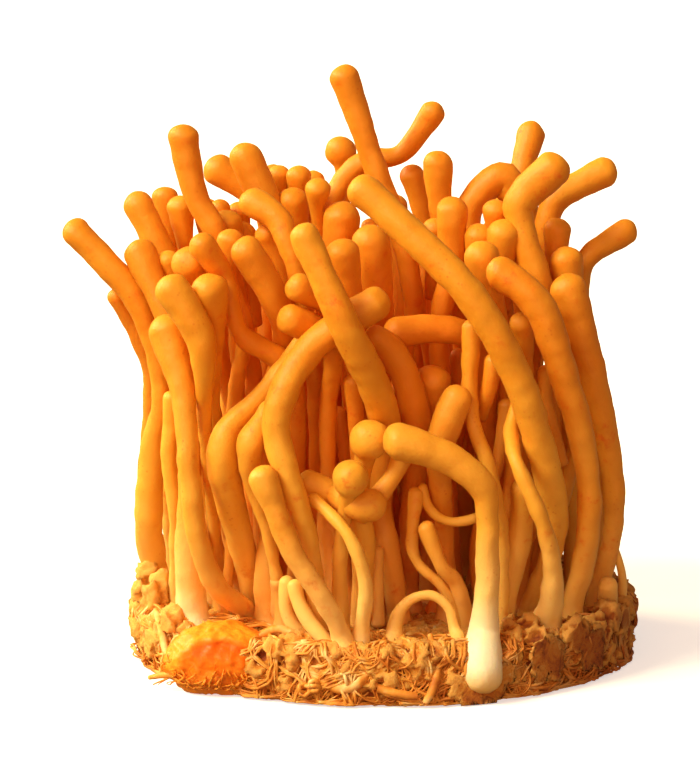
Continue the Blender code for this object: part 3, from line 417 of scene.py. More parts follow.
# Rusty blotches about 2 mm wide, in patches and off the pale feet
coloured = remap(tree, pale, (0.6, 0.15))
blotch = remap(tree, noise(tree, place, 460.0, 6.0, 0.7), (0.53, 0.66), (0.0, 0.6))
blotch_gate = product(tree, remap(tree, slow_mottle, (0.50, 0.62)), coloured)
blotched = lay_over(tree, product(tree, blotch, blotch_gate), whitened, "#DE5A0E")
# Pin-prick pits of about 0.3 mm, in patches of 5 mm
pit_field = add_node(tree, "ShaderNodeTexVoronoi", {"Scale": 1150.0, "Randomness": 1.0},
                     {"Vector": place})
pit_dot = remap(tree, pit_field.outputs["Distance"], (0.08, 0.26), (1.0, 0.0))
pit_gate = remap(tree, noise(tree, place, 190.0, 3.0), (0.52, 0.68), (0.0, 0.5))
pit_share = product(tree, product(tree, pit_dot, pit_gate), coloured)
pitted = lay_over(tree, pit_share, blotched, "#C85010")
# A grain of 0.8 mm and finer
grain_bump = add_node(tree, "ShaderNodeBump", {"Strength": 0.35, "Distance": 0.0003},
                      {"Height": noise(tree, place, 1300.0, 4.0, 0.65)})
set_node(tree, shader, {"Roughness": 0.50, "Subsurface Weight": 0.22,
                        "Subsurface Radius": (1.0, 0.50, 0.16), "Subsurface Scale": 1.2 * MM,
                        "IOR": 1.40, "Specular IOR Level": 0.55},
         {"Base Color": pitted, "Normal": grain_bump.outputs["Normal"]})


def paint_feet(limb, amount):
    """Paleness of the lower stalk, from the mat upward."""
    places = np.empty(len(limb.data.vertices) * 3)
    limb.data.vertices.foreach_get("co", places)
    height = places.reshape(-1, 3)[:, 2]
    paleness_kept = np.clip(BULB_LOWEST_PALENESS + (1 - BULB_LOWEST_PALENESS) * height / PALENESS_FADE_TOP, BULB_LOWEST_PALENESS, 1)
    fading = np.clip(1 - (height - MAT_TOP) / PALE_REACH, 0, 1) ** PALE_CURVE
    pale_values = limb.data.attributes.new("pale", "FLOAT", "POINT")
    pale_values.data.foreach_set("value", amount * paleness_kept * fading)


def finish_limb(limb, node_name, amount):
    """Gives a limb its flesh and pale feet, hangs it from the root body, and hides the node it
    belongs to.
    """
    limb.data.materials.clear()
    limb.data.materials.append(flesh)
    paint_feet(limb, amount)
    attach(limb, "root")
    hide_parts(node_name)


def join_limbs(limbs, name):
    """The limbs as one named mesh."""
    bpy.ops.object.select_all(action="DESELECT")
    for limb in limbs:
        limb.select_set(True)
    bpy.context.view_layer.objects.active = limbs[0]
    if len(limbs) > 1:
        bpy.ops.object.join()
    whole = bpy.context.view_layer.objects.active
    whole.name = name
    whole.data.name = name
    return whole


limb_lines = {name: middle_lines(name) for name in sorted(nodes) if name != "substrate_mat"}
crowd = []
for node_name, lines in limb_lines.items():
    limbs = []
    for index, rings in enumerate(lines):
        if node_name == "stroma_white_foot":
            rings = np.vstack((rings[rings[:, 2] > BULB_FROM], np.array(WHITE_BULB) * MM))
            samples, along = limb_samples(rings, flare=0.0)
        else:
            samples, along = limb_samples(rings)
        if node_name in BALL_HEADS and index == 0:
            samples = ball_headed(samples, along)
        crowd.append(samples[::3])
        limbs.append(skin_limb(f"{node_name}_limb_{index}", samples, along))
        grow_skin(limbs[-1])
    whole = join_limbs(limbs, node_name + "_flesh")
    finish_limb(whole, node_name, PALE_FEET.get(node_name, PALE_OTHERS))

# Small strands and heads among the stromata
# Thin side shoots, a hammock of thread and short heads that fill the front and the crown. They are
# grown as the stromata are, each beside the solid that it belongs to.
STRAND_SIDES = 16
STRAND_LUMP = 0.2 * MM
STRAND_PALE = 0.4
# name: (node it belongs to, [(across, up, depth, diameter) in mm, head first])
SMALL_STRANDS = {
    "hammock_strand": ("strands_front_right", [
        (5.8, 23.5, -25, 1.3), (6.6, 20.8, -25, 1.4), (8.2, 19, -25, 1.4), (10.2, 18.4, -25, 1.4),
        (12.5, 18.6, -25, 1.5), (14, 19, -25, 1.5)]),
    "short_finger": ("cluster_right", [
        (16.4, 42.5, -24, 2.2), (16, 39.6, -24, 2.4), (15.3, 36.8, -23, 2.2),
        (14.7, 33.9, -20, 1.4)]),
    "broad_inner_stalk": ("cluster_right", [
        (21, 24, -22, 1.8), (20.8, 20, -22, 3), (20.2, 16, -21.5, 4), (19.2, 12, -21, 4),
        (18.3, 8, -20, 3.6), (18, 4.5, -19, 3.2)]),
    "thin_inner_stalk": ("cluster_right", [
        (19.4, 31, -20, 1.8), (19.3, 25, -20, 2.2), (18.4, 20, -19.5, 2.6), (17.5, 16.5, -19, 2.4),
        (17, 10, -18, 2.4)]),
    "right_shoot": ("stroma_right_outer", [
        (24.4, 41, -16, 1.8), (24.2, 37, -16, 2), (25, 33, -16, 2.4), (26.5, 27, -15, 2.4)]),
    "right_hair": ("stroma_right_outer", [
        (34.6, 14.3, -9, 1.2), (35.4, 12, -9, 1.2), (35.8, 9.3, -8, 1.2), (35.6, 6.0, -6, 1.3)]),
    "right_stub": ("stroma_right_outer", [
        (33.6, 8.8, -14, 2.6), (33.5, 7, -13, 2.6), (33.4, 4.2, -12, 2.8)]),
    "front_left_thread": ("stroma_front_leaning", [
        (-14.6, 9.5, -28, 1.6), (-14.7, 7, -28, 2), (-14.6, 5, -28, 2), (-13.8, 3, -28, 1.9),
        (-12.6, 1.6, -28, 1.6)]),
    "front_pale_thread": ("stroma_front_leaning", [
        (-13.4, 9, -30, 1.5), (-13, 7, -30.5, 1.9), (-12.2, 5, -31, 2.2), (-10.9, 3, -31.5, 2.2),
        (-9.4, 1.2, -32, 2), (-8.2, -0.6, -32.5, 1.6)]),
    "left_stub": ("stroma_front_left_stub", [
        (-16, 9.4, -24, 2), (-15.9, 8, -23, 2), (-16.2, 3.2, -20, 2)]),
    "tan_column": ("stroma_front_pale", [
        (-7.3, 20, -17, 4.2), (-7.2, 14, -17, 4.8), (-6.6, 8, -17, 4.6), (-6, 5.0, -16.5, 4.4)]),
    "centre_stalk": ("cluster_centre", [
        (-4.6, 39.5, -22, 2.2), (-4.2, 35, -21, 2.6), (-3.9, 31, -20, 2.6), (-3.6, 24, -18, 2.4)]),
    "centre_thread": ("stroma_front_pale", [
        (-1, 14, -24, 1.6), (-1, 10, -24, 1.8), (-0.9, 5, -23, 1.8), (-0.9, 3, -22.5, 1.8)]),
    "branch_bulb": ("stroma_round_knob", [
        (-1.6, 21.0, -32, 3.8), (-3.4, 20.9, -32, 4.2), (-5.9, 21.8, -31, 3.6),
        (-8.2, 23.0, -28, 3.0), (-10.0, 23.8, -26, 2.6)]),
    "branch_web": ("stroma_round_knob", [
        (2.9, 28.6, -29.5, 2.0), (1.4, 25.4, -29.5, 2.5), (-0.8, 22.4, -30, 2.9),
        (-2.6, 20.4, -30.5, 2.8), (-3.6, 18.8, -30, 2.2)]),
    "crown_head_left": ("cluster_left", [
        (-32.4, 57.6, -15, 2.8), (-31.4, 54.4, -14, 2.6), (-30, 48, -11, 2.2)]),
    "crown_head_middle": ("cluster_centre", [
        (-9.9, 68.2, -8, 3.4), (-10, 65.5, -7, 2.2), (-9.5, 60, -5, 2.0)]),
    "crown_head_right": ("cluster_right", [
        (16.7, 65, -9, 3.4), (16.9, 62, -8, 2.6), (17.4, 57, -6, 2.2)]),
    "crown_head_far_left": ("cluster_left", [
        (-24.6, 65.4, -2, 2.8), (-23.8, 61, -1, 2.4), (-22.6, 52, 1, 2.2)]),
    "crown_head_left_low": ("cluster_left", [
        (-21.4, 61.4, -4, 4.0), (-20.6, 56, -3, 3.4), (-19.6, 48, -1, 2.8)]),
    "crown_head_left_high": ("cluster_left", [
        (-21.8, 64.8, 1, 3.2), (-21.4, 60, 2, 2.6), (-20.6, 52, 4, 2.2)]),
    "crown_head_back_left": ("cluster_back_left", [
        (-15.8, 70.4, 4, 3.0), (-15.8, 66.5, 5, 2.7), (-15.3, 58, 7, 2.4)]),
    "crown_head_back": ("cluster_centre", [
        (-12.8, 70.2, 2, 3.4), (-12.6, 66, 3, 2.8), (-12.2, 58, 5, 2.4)]),
    "crown_head_low": ("cluster_centre", [
        (-13.7, 66.4, -2, 4.2), (-13.2, 61.5, -1, 3.6), (-12.6, 54, 1, 3.0)]),
    "crown_head_right_low": ("cluster_right", [
        (17.9, 61.6, -12, 4.4), (17.6, 57, -11, 3.8), (17.4, 50, -9, 3.0)]),
    "crown_head_right_left": ("cluster_right", [
        (14.2, 61.2, -10, 3.8), (14.2, 56, -9, 3.2), (14.4, 49, -7, 2.8)]),
    "crown_head_centre": ("cluster_centre", [
        (7.6, 62.3, -3, 3.2), (7.5, 58.5, -2, 2.6), (7.2, 52, 0, 2.2)]),
}
# Up is counted from a line this far below the middle of the view, in mm
VIEW_AIM_SHOWN_UP = 38.75


def place_seen(across, up, depth):
    """World point, in metres, of what is seen at (across, up) and stands at a depth, all in mm."""
    distance, aim = CAMERA_DISTANCE / MM, CAMERA_AIM / MM
    tilt_sin, tilt_cos = math.sin(CAMERA_TILT), math.cos(CAMERA_TILT)
    rise = up - VIEW_AIM_SHOWN_UP
    height = rise * (distance + depth * tilt_cos) - distance * depth * tilt_sin
    height /= distance * tilt_cos + rise * tilt_sin
    away = distance + depth * tilt_cos - height * tilt_sin
    return (aim.x + (across - aim.x) * away / distance) * MM, depth * MM, aim.z * MM + height * MM


def thread_samples(points):
    """Close samples of a thin strand, domed at its first end."""
    rings = np.array([(*place_seen(*point[:3]), point[3] / 2 * MM) for point in points])
    tip = rings[0].copy()
    onward = rings[0, :3] - rings[1, :3]
    tip[:3] += onward / np.linalg.norm(onward) * rings[0, 3]
    return limb_samples(np.vstack((tip, rings)))


for strand_name, (node_name, points) in SMALL_STRANDS.items():
    samples, along = thread_samples(points)
    crowd.append(samples[::3])
    strand = skin_limb(strand_name, samples, along, sides=STRAND_SIDES)
    grow_skin(strand, lump=STRAND_LUMP)
    finish_limb(strand, node_name, STRAND_PALE)

# Inner stalks
# Slim young stalks deep in the clump, which close the view between the big stromata. They stand where
# there is room on the mat and belong to the nearest of the shared feet.
INNER_TRIES = 6000
INNER_AREA = 33.5 * MM
INNER_FRONT = -15 * MM
INNER_SIDE = 26 * MM
INNER_HEIGHTS = (30 * MM, 56 * MM)
# Those further back than the first are taller by the second
INNER_BACK, INNER_BACK_RISE = 4 * MM, 5 * MM
# Those this far out to either side stay below the heads of the big ones
INNER_OUTER, INNER_OUTER_HEIGHT = 19 * MM, 42 * MM
INNER_DIAMETERS = (1.5 * MM, 2.9 * MM)
# How much wider the head is than the foot
INNER_CLUB = 0.25
INNER_LEAN = 0.07
INNER_WAVER = 1.6 * MM
INNER_ROOM = 0.15 * MM
INNER_SIDES = 14
INNER_LUMP = 0.3 * MM
SHARED_FEET = [name for name in limb_lines if name.startswith("cluster_")]

# One generator serves all that is placed by chance, here and below, so the order of draws counts
chance = random.Random(11)
foot_places = {name: np.mean([line[-1, :2] for line in limb_lines[name]], axis=0)
               for name in SHARED_FEET}
inner_limbs = {name: [] for name in SHARED_FEET}
taken = np.vstack(crowd)
grown = 0
for _ in range(INNER_TRIES):
    angle, reach = chance.uniform(0, 2 * math.pi), INNER_AREA * math.sqrt(chance.random())
    x, y = reach * math.cos(angle), reach * math.sin(angle)
    if y < INNER_FRONT or abs(x) > INNER_SIDE:
        continue
    tall = chance.uniform(*INNER_HEIGHTS) + (INNER_BACK_RISE if y > INNER_BACK else 0)
    tall = min(tall, INNER_OUTER_HEIGHT) if abs(x) > INNER_OUTER else tall
    girth = chance.uniform(*INNER_DIAMETERS) / 2
    swing = chance.uniform(0, 2 * math.pi)
    rises = np.array((1.0, 0.75, 0.5, 0.25, 0.0))
    lean = INNER_LEAN * rises * tall / max(reach, 1 * MM)
    waver = INNER_WAVER * np.sin(swing + 5 * rises)
    rings = np.column_stack((x * (1 + lean) + waver, y * (1 + lean) + waver[::-1],
                             MAT_TOP - ROOT_DEPTH + rises * tall,
                             girth * (1 + INNER_CLUB * rises)))
    route, _ = smooth_line(rings, 2 * MM)
    gaps = np.sqrt(((route[::2, None, :3] - taken[None, :, :3]) ** 2).sum(axis=2))
    clear = gaps - route[::2, None, 3] - taken[None, :, 3]
    if clear.min() < INNER_ROOM:
        continue
    tip = rings[0] + (0, 0, girth * (1 + INNER_CLUB), 0)
    samples, along = limb_samples(np.vstack((tip, rings)))
    taken = np.vstack((taken, samples[::3]))
    owner = min(SHARED_FEET, key=lambda name: np.hypot(*(foot_places[name] - (x, y))))
    stalk = skin_limb(f"inner_stalk_{grown}", samples, along, sides=INNER_SIDES)
    grow_skin(stalk, lump=INNER_LUMP)
    inner_limbs[owner].append(stalk)
    grown += 1
for owner, limbs in inner_limbs.items():
    if limbs:
        finish_limb(join_limbs(limbs, owner + "_inner_stalks"), owner, 0.0)

# Substrate mat
# A round cake of grain and wood meal bound by threads of mycelium, crumbly at its torn rim and cut
# off flat below. Lumps are melted into a disc, then roughened at three sizes.
MAT_RADIUS = 36.9 * MM
MAT_SIDES = 96
MAT_LUMPS = 420
LUMP_SIZES = (0.7 * MM, 1.9 * MM)
# Lumps stand this far out of the skin, less this share of their radius
LUMP_OUT, LUMP_SUNK = 0.5 * MM, 0.6
# Where they lie, as millimetres up the rim and on over the top: least, most and most often
LUMP_RUNS = (0.8, 15, 6.0)
LUMP_UNEVEN = 0.25
MAT_VOXEL = 0.42 * MM
# (width of the roughness, how far it moves the skin, texture)
MAT_ROUGHNESS = ((4.5 * MM, 1.0 * MM, "CLOUDS"), (1.9 * MM, 0.9 * MM, "MUSGRAVE"),
                 (0.55 * MM, 0.5 * MM, "CLOUDS"))
MAT_LIMIT = 38.7 * MM
CUT_FLAT_BELOW = 0.5 * MM
# A hollow, which gets painted shade, or a ridge, which gets a painted highlight, is told from the
# skin's place against its surroundings, and is at full strength where it is this deep
HOLLOW_ROUNDS = 14
HOLLOW_DEPTH = 0.40 * MM
BULB_PLACE, BULB_ROOM = WHITE_BULB[2][:2], 4.6 * MM
# Lumps that show in front: (across, up, depth, radius) in mm
SHOWN_LUMPS = (
    (25, -2.3, -31, 3.0), (32.0, -0.6, -24, 3.0), (28.8, 1.2, -26, 2.6), (35.6, 3.6, -15, 1.8),
    (33.6, 4.0, -17, 2.0), (19.9, 1.0, -29, 2.0), (22.6, 0.6, -29, 2.4),
    (-13.2, -0.6, -31, 2.4), (5.8, -3.6, -35, 2.2), (2.6, -1.5, -33, 2.0),
    (-31.5, 3.4, -20, 2.2), (-35.6, 5.2, -6, 2.4), (-36.0, 2.4, -8, 2.2), (-34.0, 0.4, -16, 2.2),
    (-36.2, 8.4, -7, 1.8), (-35.4, 10.8, -7, 1.4), (-34.4, 7.2, -11, 1.8), (-33.2, 9.4, -10, 1.2),
    (21.6, 2.6, -28, 1.5), (18.6, 2.8, -28, 1.3),
    (11.4, -6.8, -36.6, 1.3), (13.2, -8.0, -36.9, 1.2), (15.4, -7.9, -36.8, 1.3),
    (17.2, -6.4, -36.0, 1.5), (18.4, -4.2, -35.0, 1.4), (10.4, -4.6, -36.4, 1.2))


def on_mat(angle, run, stand_out):
    """Point on the mat's skin: up the rim as far as the run goes, then inward over the top."""
    across = MAT_RADIUS - max(0.0, run - MAT_TOP)
    high = min(run, MAT_TOP)
    if run < MAT_TOP:
        across += stand_out
    else:
        high += stand_out
    return Vector((across * math.cos(angle), across * math.sin(angle), high))


def press_roughness(piece, steps):
    """Roughens a mesh in steps of (width, how far it moves the skin, kind of noise)."""
    bpy.context.view_layer.objects.active = piece
    for index, (width, height, kind) in enumerate(steps):
        press = piece.modifiers.new("press", "DISPLACE")
        press.texture = swell_texture(f"{piece.name}_rough_{index}", width, 2, kind)
        press.texture_coords = "GLOBAL"
        press.strength = height
        press.mid_level = 0.5
        bpy.ops.object.modifier_apply(modifier=press.name)


bpy.ops.object.select_all(action="DESELECT")
bpy.ops.mesh.primitive_cylinder_add(vertices=MAT_SIDES, radius=MAT_RADIUS, depth=MAT_TOP,
                                    location=(0, 0, MAT_TOP / 2))
mat = bpy.context.object
bpy.ops.object.transform_apply(location=True, rotation=True, scale=True)
mat.name = "rooted_substrate_mat"
lumps = []
for index in range(MAT_LUMPS):
    size = chance.uniform(*LUMP_SIZES)
    centre = on_mat(chance.uniform(0, 2 * math.pi), chance.triangular(*LUMP_RUNS) * MM,
                    LUMP_OUT - LUMP_SUNK * size)
    if math.hypot(centre.x - BULB_PLACE[0] * MM, centre.y - BULB_PLACE[1] * MM) > BULB_ROOM:
        lumps.append((centre, size))
lumps += [(Vector(place_seen(*lump[:3])), lump[3] * MM) for lump in SHOWN_LUMPS]
work = bmesh.new()
work.from_mesh(mat.data)
for centre, size in lumps:
    added = bmesh.ops.create_icosphere(work, subdivisions=2, radius=1.0)["verts"]
    for vert in added:
        wave = math.sin(3 * vert.co.x + 5 * vert.co.y + centre.x / MM)
        vert.co = centre + size * vert.co * (1 + LUMP_UNEVEN * wave)
work.to_mesh(mat.data)
work.free()
melt = mat.modifiers.new("melt", "REMESH")
melt.mode = "VOXEL"
melt.voxel_size = MAT_VOXEL
bpy.context.view_layer.objects.active = mat
bpy.ops.object.modifier_apply(modifier=melt.name)
press_roughness(mat, MAT_ROUGHNESS)
for vert in mat.data.vertices:
    reach = math.hypot(vert.co.x, vert.co.y)
    if reach > MAT_LIMIT:
        vert.co.x *= MAT_LIMIT / reach
        vert.co.y *= MAT_LIMIT / reach
    vert.co.z = 0 if vert.co.z < CUT_FLAT_BELOW else vert.co.z
mat.data.shade_smooth()
# How far each corner lies below the skin around it, which is its own place evened out again and again
corners = np.empty(len(mat.data.vertices) * 3)
mat.data.vertices.foreach_get("co", corners)
corners = corners.reshape(-1, 3)
ends = np.empty(len(mat.data.edges) * 2, dtype=np.int64)
mat.data.edges.foreach_get("vertices", ends)
ends = ends.reshape(-1, 2)
first, second = np.concatenate((ends, ends[:, ::-1])).T
links = np.bincount(first, minlength=len(corners))[:, None]
calm = corners
for _ in range(HOLLOW_ROUNDS):
    sums = [np.bincount(first, calm[second, axis], len(corners)) for axis in range(3)]
    calm = np.column_stack(sums) / links
outward = np.empty(len(mat.data.vertices) * 3)
mat.data.vertices.foreach_get("normal", outward)
sunk = ((calm - corners) * outward.reshape(-1, 3)).sum(axis=1) / HOLLOW_DEPTH
sunk_values = mat.data.attributes.new("sunk", "FLOAT", "POINT")
sunk_values.data.foreach_set("value", np.clip(0.5 + 0.5 * sunk, 0, 1))

# Dry crumb bound by threads, rough and dull: light scatters on it evenly. Shade is painted dark into
# the hollows and a highlight pale onto the ridges, so that it reads as meal
substrate, tree, shader = new_material("crumbly_rooted_substrate")
place = add_node(tree, "ShaderNodeTexCoord").outputs["Object"]
apart = add_node(tree, "ShaderNodeSeparateXYZ", links={0: place})
# Patches of cream mycelium, orange crust and brown meal, about 4 mm wide and less
crust = colour_ramp(tree, noise(tree, place, 260.0, 6.0, 0.7, 0.8), (
    (0.30, "#8E460C"), (0.41, "#CA7420"), (0.50, "#E6962E"), (0.60, "#EEB25A"), (0.72, "#FAE4B6")))
# Darker and browner towards the right-hand side
rightward = remap(tree, apart.outputs["X"], (0.0, 0.034), (0.0, 0.85))
browned = lay_over(tree, rightward, crust, "#A68054", "MULTIPLY")
# Painted shade darkens the hollows brown, a painted highlight makes the ridges cream, and cream
# mycelium lies at the left-hand rim
sunk = add_node(tree, "ShaderNodeAttribute", {"attribute_name": "sunk"}).outputs["Fac"]
hollow_shade_share = remap(tree, sunk, (0.52, 0.95), (0.0, 0.85))
hollow_shaded = lay_over(tree, hollow_shade_share, browned, "#A0602C", "MULTIPLY")
ridge_highlit = lay_over(tree, remap(tree, sunk, (0.42, 0.10), (0.0, 0.55)), hollow_shaded, "#F6BE68")
leftward = remap(tree, apart.outputs["X"], (-0.027, -0.036), (0.0, 0.45))
rimmed = lay_over(tree, leftward, ridge_highlit, "#F8C264")
# A crumb of 0.7 mm and finer
fine_bump = add_node(tree, "ShaderNodeBump", {"Strength": 0.8, "Distance": 0.0006},
                     {"Height": noise(tree, place, 1500.0, 5.0, 0.75)})
set_node(tree, shader, {"Roughness": 0.75, "Subsurface Weight": 0.2,
                        "Subsurface Radius": (1.0, 0.45, 0.15), "Subsurface Scale": 0.8 * MM},
         {"Base Color": rimmed, "Normal": fine_bump.outputs["Normal"]})
mat.data.materials.clear()
mat.data.materials.append(substrate)


def finish_substrate(piece):
    """Hangs a piece of the mat from the root body, and hides the mat's node."""
    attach(piece, "root")
    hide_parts("substrate_mat")


finish_substrate(mat)

# Orange lobe
# A cap of orange tissue that has grown over the mat's left front edge. It has a thick lip above and
# combed threads that run down from it into the crumb.
LOBE_CENTRE = Vector((-23.8, -27.2, 4.3)) * MM
LOBE_SIZE = Vector((8.0, 6.4, 5.6)) * MM
LOBE_COMB = 0.10 * MM
LOBE_HOLLOW = 0.16
# The lip starts this far from the lobe's middle, as a share of its size, and rises over the second
# share; it runs round the top, down to the height given as a share
LIP_FROM, LIP_WIDTH, LIP_DOWN_TO = 0.62, 0.16, -0.25
bpy.ops.object.select_all(action="DESELECT")
bpy.ops.mesh.primitive_uv_sphere_add(segments=144, ring_count=72, radius=1.0)
lobe = bpy.context.object
lobe.name = "orange_lobe"
lip_values = []
for vert in lobe.data.vertices:
    spot = vert.co.copy()
    front = max(0.0, -spot.y)
    rim = math.hypot(spot.x, spot.z)
    lip = max(0.0, min(1.0, (rim - LIP_FROM) / LIP_WIDTH)) if spot.z > LIP_DOWN_TO else 0.0
    lip_values.append(lip if front > 0 else 0.7)
    hollow = LOBE_HOLLOW * front * (1 - lip) * max(0.0, min(1.0, (spot.z + 1.1) / 0.6))
    # Combed lines fan out downwards from a point above the lobe's middle, coarse ones and fine ones
    fan = math.atan2(spot.x + 0.15, spot.z + 1.6)
    coarse = math.sin(23 * fan + 2 * math.sin(3 * spot.z))
    fine = 0.7 * math.sin(57 * fan + 4 * math.sin(5 * spot.z))
    comb = LOBE_COMB * front * (1 - lip) * (coarse + fine)
    vert.co = LOBE_CENTRE + Vector([s * c for s, c in zip(LOBE_SIZE, spot)])
    vert.co.y += hollow * LOBE_SIZE.y - comb
    vert.co.z = max(vert.co.z, 0.0)
lobe.data.attributes.new("lip", "FLOAT", "POINT").data.foreach_set("value", lip_values)
press_roughness(lobe, ((3.0 * MM, 1.2 * MM, "CLOUDS"), (1.2 * MM, 0.5 * MM, "CLOUDS")))
for vert in lobe.data.vertices:
    vert.co.z = max(vert.co.z, 0.0)
lobe.data.shade_smooth()
# Dense crust, smooth and faintly moist: the deepest orange of the clump, with a soft sheen and a glow
# from within
lobe_skin, tree, shader = new_material("orange_mycelium_crust")
place = add_node(tree, "ShaderNodeTexCoord").outputs["Object"]
apart = add_node(tree, "ShaderNodeSeparateXYZ", links={0: place})
# Bands of colour up the lobe, made uneven by a noise of 2 mm
streaks = noise(tree, place, 500.0, 5.0, 0.7)
mixed = add_node(tree, "ShaderNodeMath", {"operation": "MULTIPLY_ADD", 1: 0.0042},
                 {0: streaks, 2: apart.outputs["Z"]})
bands = colour_ramp(tree, remap(tree, mixed.outputs[0], (0.002, 0.0125)), (
    (0.0, "#F08E2C"), (0.25, "#F29430"), (0.42, "#F2861A"), (0.62, "#EE6C0A"), (0.86, "#EA6206"),
    (1.0, "#F47E10")))
lip = add_node(tree, "ShaderNodeAttribute", {"attribute_name": "lip"}).outputs["Fac"]
lobe_bump = add_node(tree, "ShaderNodeBump", {"Strength": 0.5, "Distance": 0.0004},
                     {"Height": streaks})
set_node(tree, shader, {"Roughness": 0.42, "Subsurface Weight": 0.3,
                        "Subsurface Radius": (1.0, 0.3, 0.08), "Subsurface Scale": 1.2 * MM,
                        "Specular IOR Level": 0.3},
         {"Base Color": lay_over(tree, lip, bands, "#FA9A28"), "Normal": lobe_bump.outputs["Normal"]})
lobe.data.materials.append(lobe_skin)
finish_substrate(lobe)

# Root threads
# Loose threads of mycelium over the rim and the top of the mat: many short curly ones in bundles, the
# few thick ones that show in the photograph, and those combed down over the orange lobe.
# Bundles all round the mat, and more of them over its front
BUNDLES = 150
FRONT_BUNDLES = 155
FRONT_SECTOR = (math.radians(-165), math.radians(-15))
STRANDS_EACH = 6
THREAD_STEP = 0.8 * MM
# In steps
THREAD_LENGTHS = (12, 26)
THREAD_DIAMETERS = (0.14 * MM, 0.56 * MM)
# Threads keep between these two, counted up the rim and on over the top
THREAD_LOWEST, THREAD_INMOST = 0.3 * MM, 16 * MM
# name: [(across, up, depth, diameter) in mm]
SHOWN_ROOTS = {
    "loop_root": [(-11.9, 0.6, -34, 1.1), (-11.9, -1.6, -35, 1.2), (-11, -4, -35.8, 1.3),
                  (-8.6, -5.8, -36.6, 1.5), (-6.4, -6.6, -37.2, 1.7), (-4.4, -6.2, -37.4, 1.6),
                  (-2.8, -4.4, -37.2, 1.4), (-2.4, -2.2, -36.6, 1.2)],
    "foot_loop": [(-4.2, -1.2, -35.2, 0.7), (-3.7, -3.0, -36.2, 0.8), (-4.6, -4.6, -37.0, 0.9),
                  (-6.4, -4.9, -36.9, 0.8), (-7.6, -3.6, -36.0, 0.8), (-7.8, -1.8, -35.2, 0.7)],
    "crossing_root": [(-2.6, -1.2, -35.6, 1.0), (0.4, -1.0, -35.8, 1.2), (3.0, -2.0, -36.2, 1.2),
                      (4.6, -3.6, -36.8, 1.1)],
    "falling_root": [(6.9, 1.4, -33, 0.9), (7.5, -1.2, -35.2, 1.2), (7.9, -4.2, -37, 1.3),
                     (7.3, -6.8, -37.8, 1.3), (6.2, -8.8, -38, 1.1)],
    "rising_root": [(9.0, -4.4, -36.6, 0.9), (10.6, -3.4, -36.2, 1.1), (11.8, -2.2, -35.4, 1.0),
                    (12.4, -0.4, -34, 0.9)],
    "low_root": [(-1.0, -6.6, -38, 1.3), (2.0, -7.4, -38.2, 1.4), (5.0, -7.8, -38.2, 1.0)],
    "left_rim_root": [(-34.2, 5.0, -16, 0.9), (-33.4, 2.2, -20, 1.2), (-32.6, -1.2, -23, 1.1),
                      (-31.2, -2.4, -25, 0.9)],
    "left_spike": [(-30.0, -4.6, -29, 1.2), (-32.8, -4.6, -28, 1.0), (-35.2, -5.0, -26, 0.6)],
    "collar_root": [(-18.6, 1.2, -29, 1.0), (-16.6, 2.2, -29, 1.3), (-14.4, 2.0, -29.4, 1.2),
                    (-12.4, 0.6, -30.6, 1.0)],
}
# A coil of thread at the rim: where it is seen and its radius, in mm, and its thread's radius
NEST_SPOT, NEST_RADIUS, NEST_GIRTH = (-11.2, -6.6, -36.6), 1.6, 0.32 * MM
NEST_TURNS, NEST_STEPS = 3.2, 44
LOBE_THREADS, LOBE_STEPS = 46, 15


def thread_curve(name, runs, roundness=0):
    """One mesh of many threads, each a list of (point, radius)."""
    curve = bpy.data.curves.new(name, "CURVE")
    curve.dimensions = "3D"
    curve.bevel_depth = MM
    curve.bevel_resolution = roundness
    curve.use_fill_caps = True
    for run in runs:
        spline = curve.splines.new("POLY")
        spline.points.add(len(run) - 1)
        for point, (spot, radius) in zip(spline.points, run):
            point.co = (*spot, 1.0)
            point.radius = radius / MM
    threads = bpy.data.objects.new(name, curve)
    bpy.context.scene.collection.objects.link(threads)
    bpy.ops.object.select_all(action="DESELECT")
    threads.select_set(True)
    bpy.context.view_layer.objects.active = threads
    bpy.ops.object.convert(target="MESH")
    threads = bpy.context.object
    threads.data.shade_smooth()
    return threads


coats, tangle = [], []
for index in range(BUNDLES + FRONT_BUNDLES):
    if index < BUNDLES:
        angle, run = chance.uniform(0, 2 * math.pi), chance.triangular(0.6, 15, 5) * MM
    else:
        angle, run = chance.uniform(*FRONT_SECTOR), chance.triangular(0.8, 10, 4) * MM
    if index == BUNDLES:
        coats.append(tangle)
        tangle = []
    heading, bend = chance.uniform(0, 2 * math.pi), chance.uniform(-0.22, 0.22)
    path = []
    for step in range(chance.randint(*THREAD_LENGTHS)):
        path.append((angle, run))
        heading += bend + chance.uniform(-0.30, 0.30)
        angle += THREAD_STEP * math.cos(heading) / MAT_RADIUS
        run = min(max(run + THREAD_STEP * math.sin(heading), 0.5 * MM), THREAD_INMOST)
    for strand in range(STRANDS_EACH):
        girth, lift = chance.uniform(*THREAD_DIAMETERS) / 2, chance.uniform(0.2, 1.2)
        aside, swing = chance.uniform(-0.9, 0.9) * MM, chance.uniform(0, 6)
        first, last = chance.randint(0, 3), len(path) - chance.randint(0, 4)
        thread = []
        for step, (angle, run) in enumerate(path[first:last]):
            share = step / max(1, last - first - 1)
            stand_out = (0.35 + lift * math.sin(math.pi * share) + 0.15 * math.sin(swing + step)) * MM
            drift = aside * (0.6 + 0.4 * math.sin(swing + 0.5 * step))
            drifted = min(max(run - drift, THREAD_LOWEST), THREAD_INMOST)
            spot = on_mat(angle + drift / MAT_RADIUS, drifted, stand_out)
            thinned = 0.35 + 0.65 * math.sin(math.pi * min(0.95, 0.1 + share))
            thread.append((spot, girth * thinned))
        tangle.append(thread)
coats.append(tangle)
threads = thread_curve("fine_root_threads", coats[0])
front_threads = thread_curve("front_root_threads", coats[1], roundness=1)
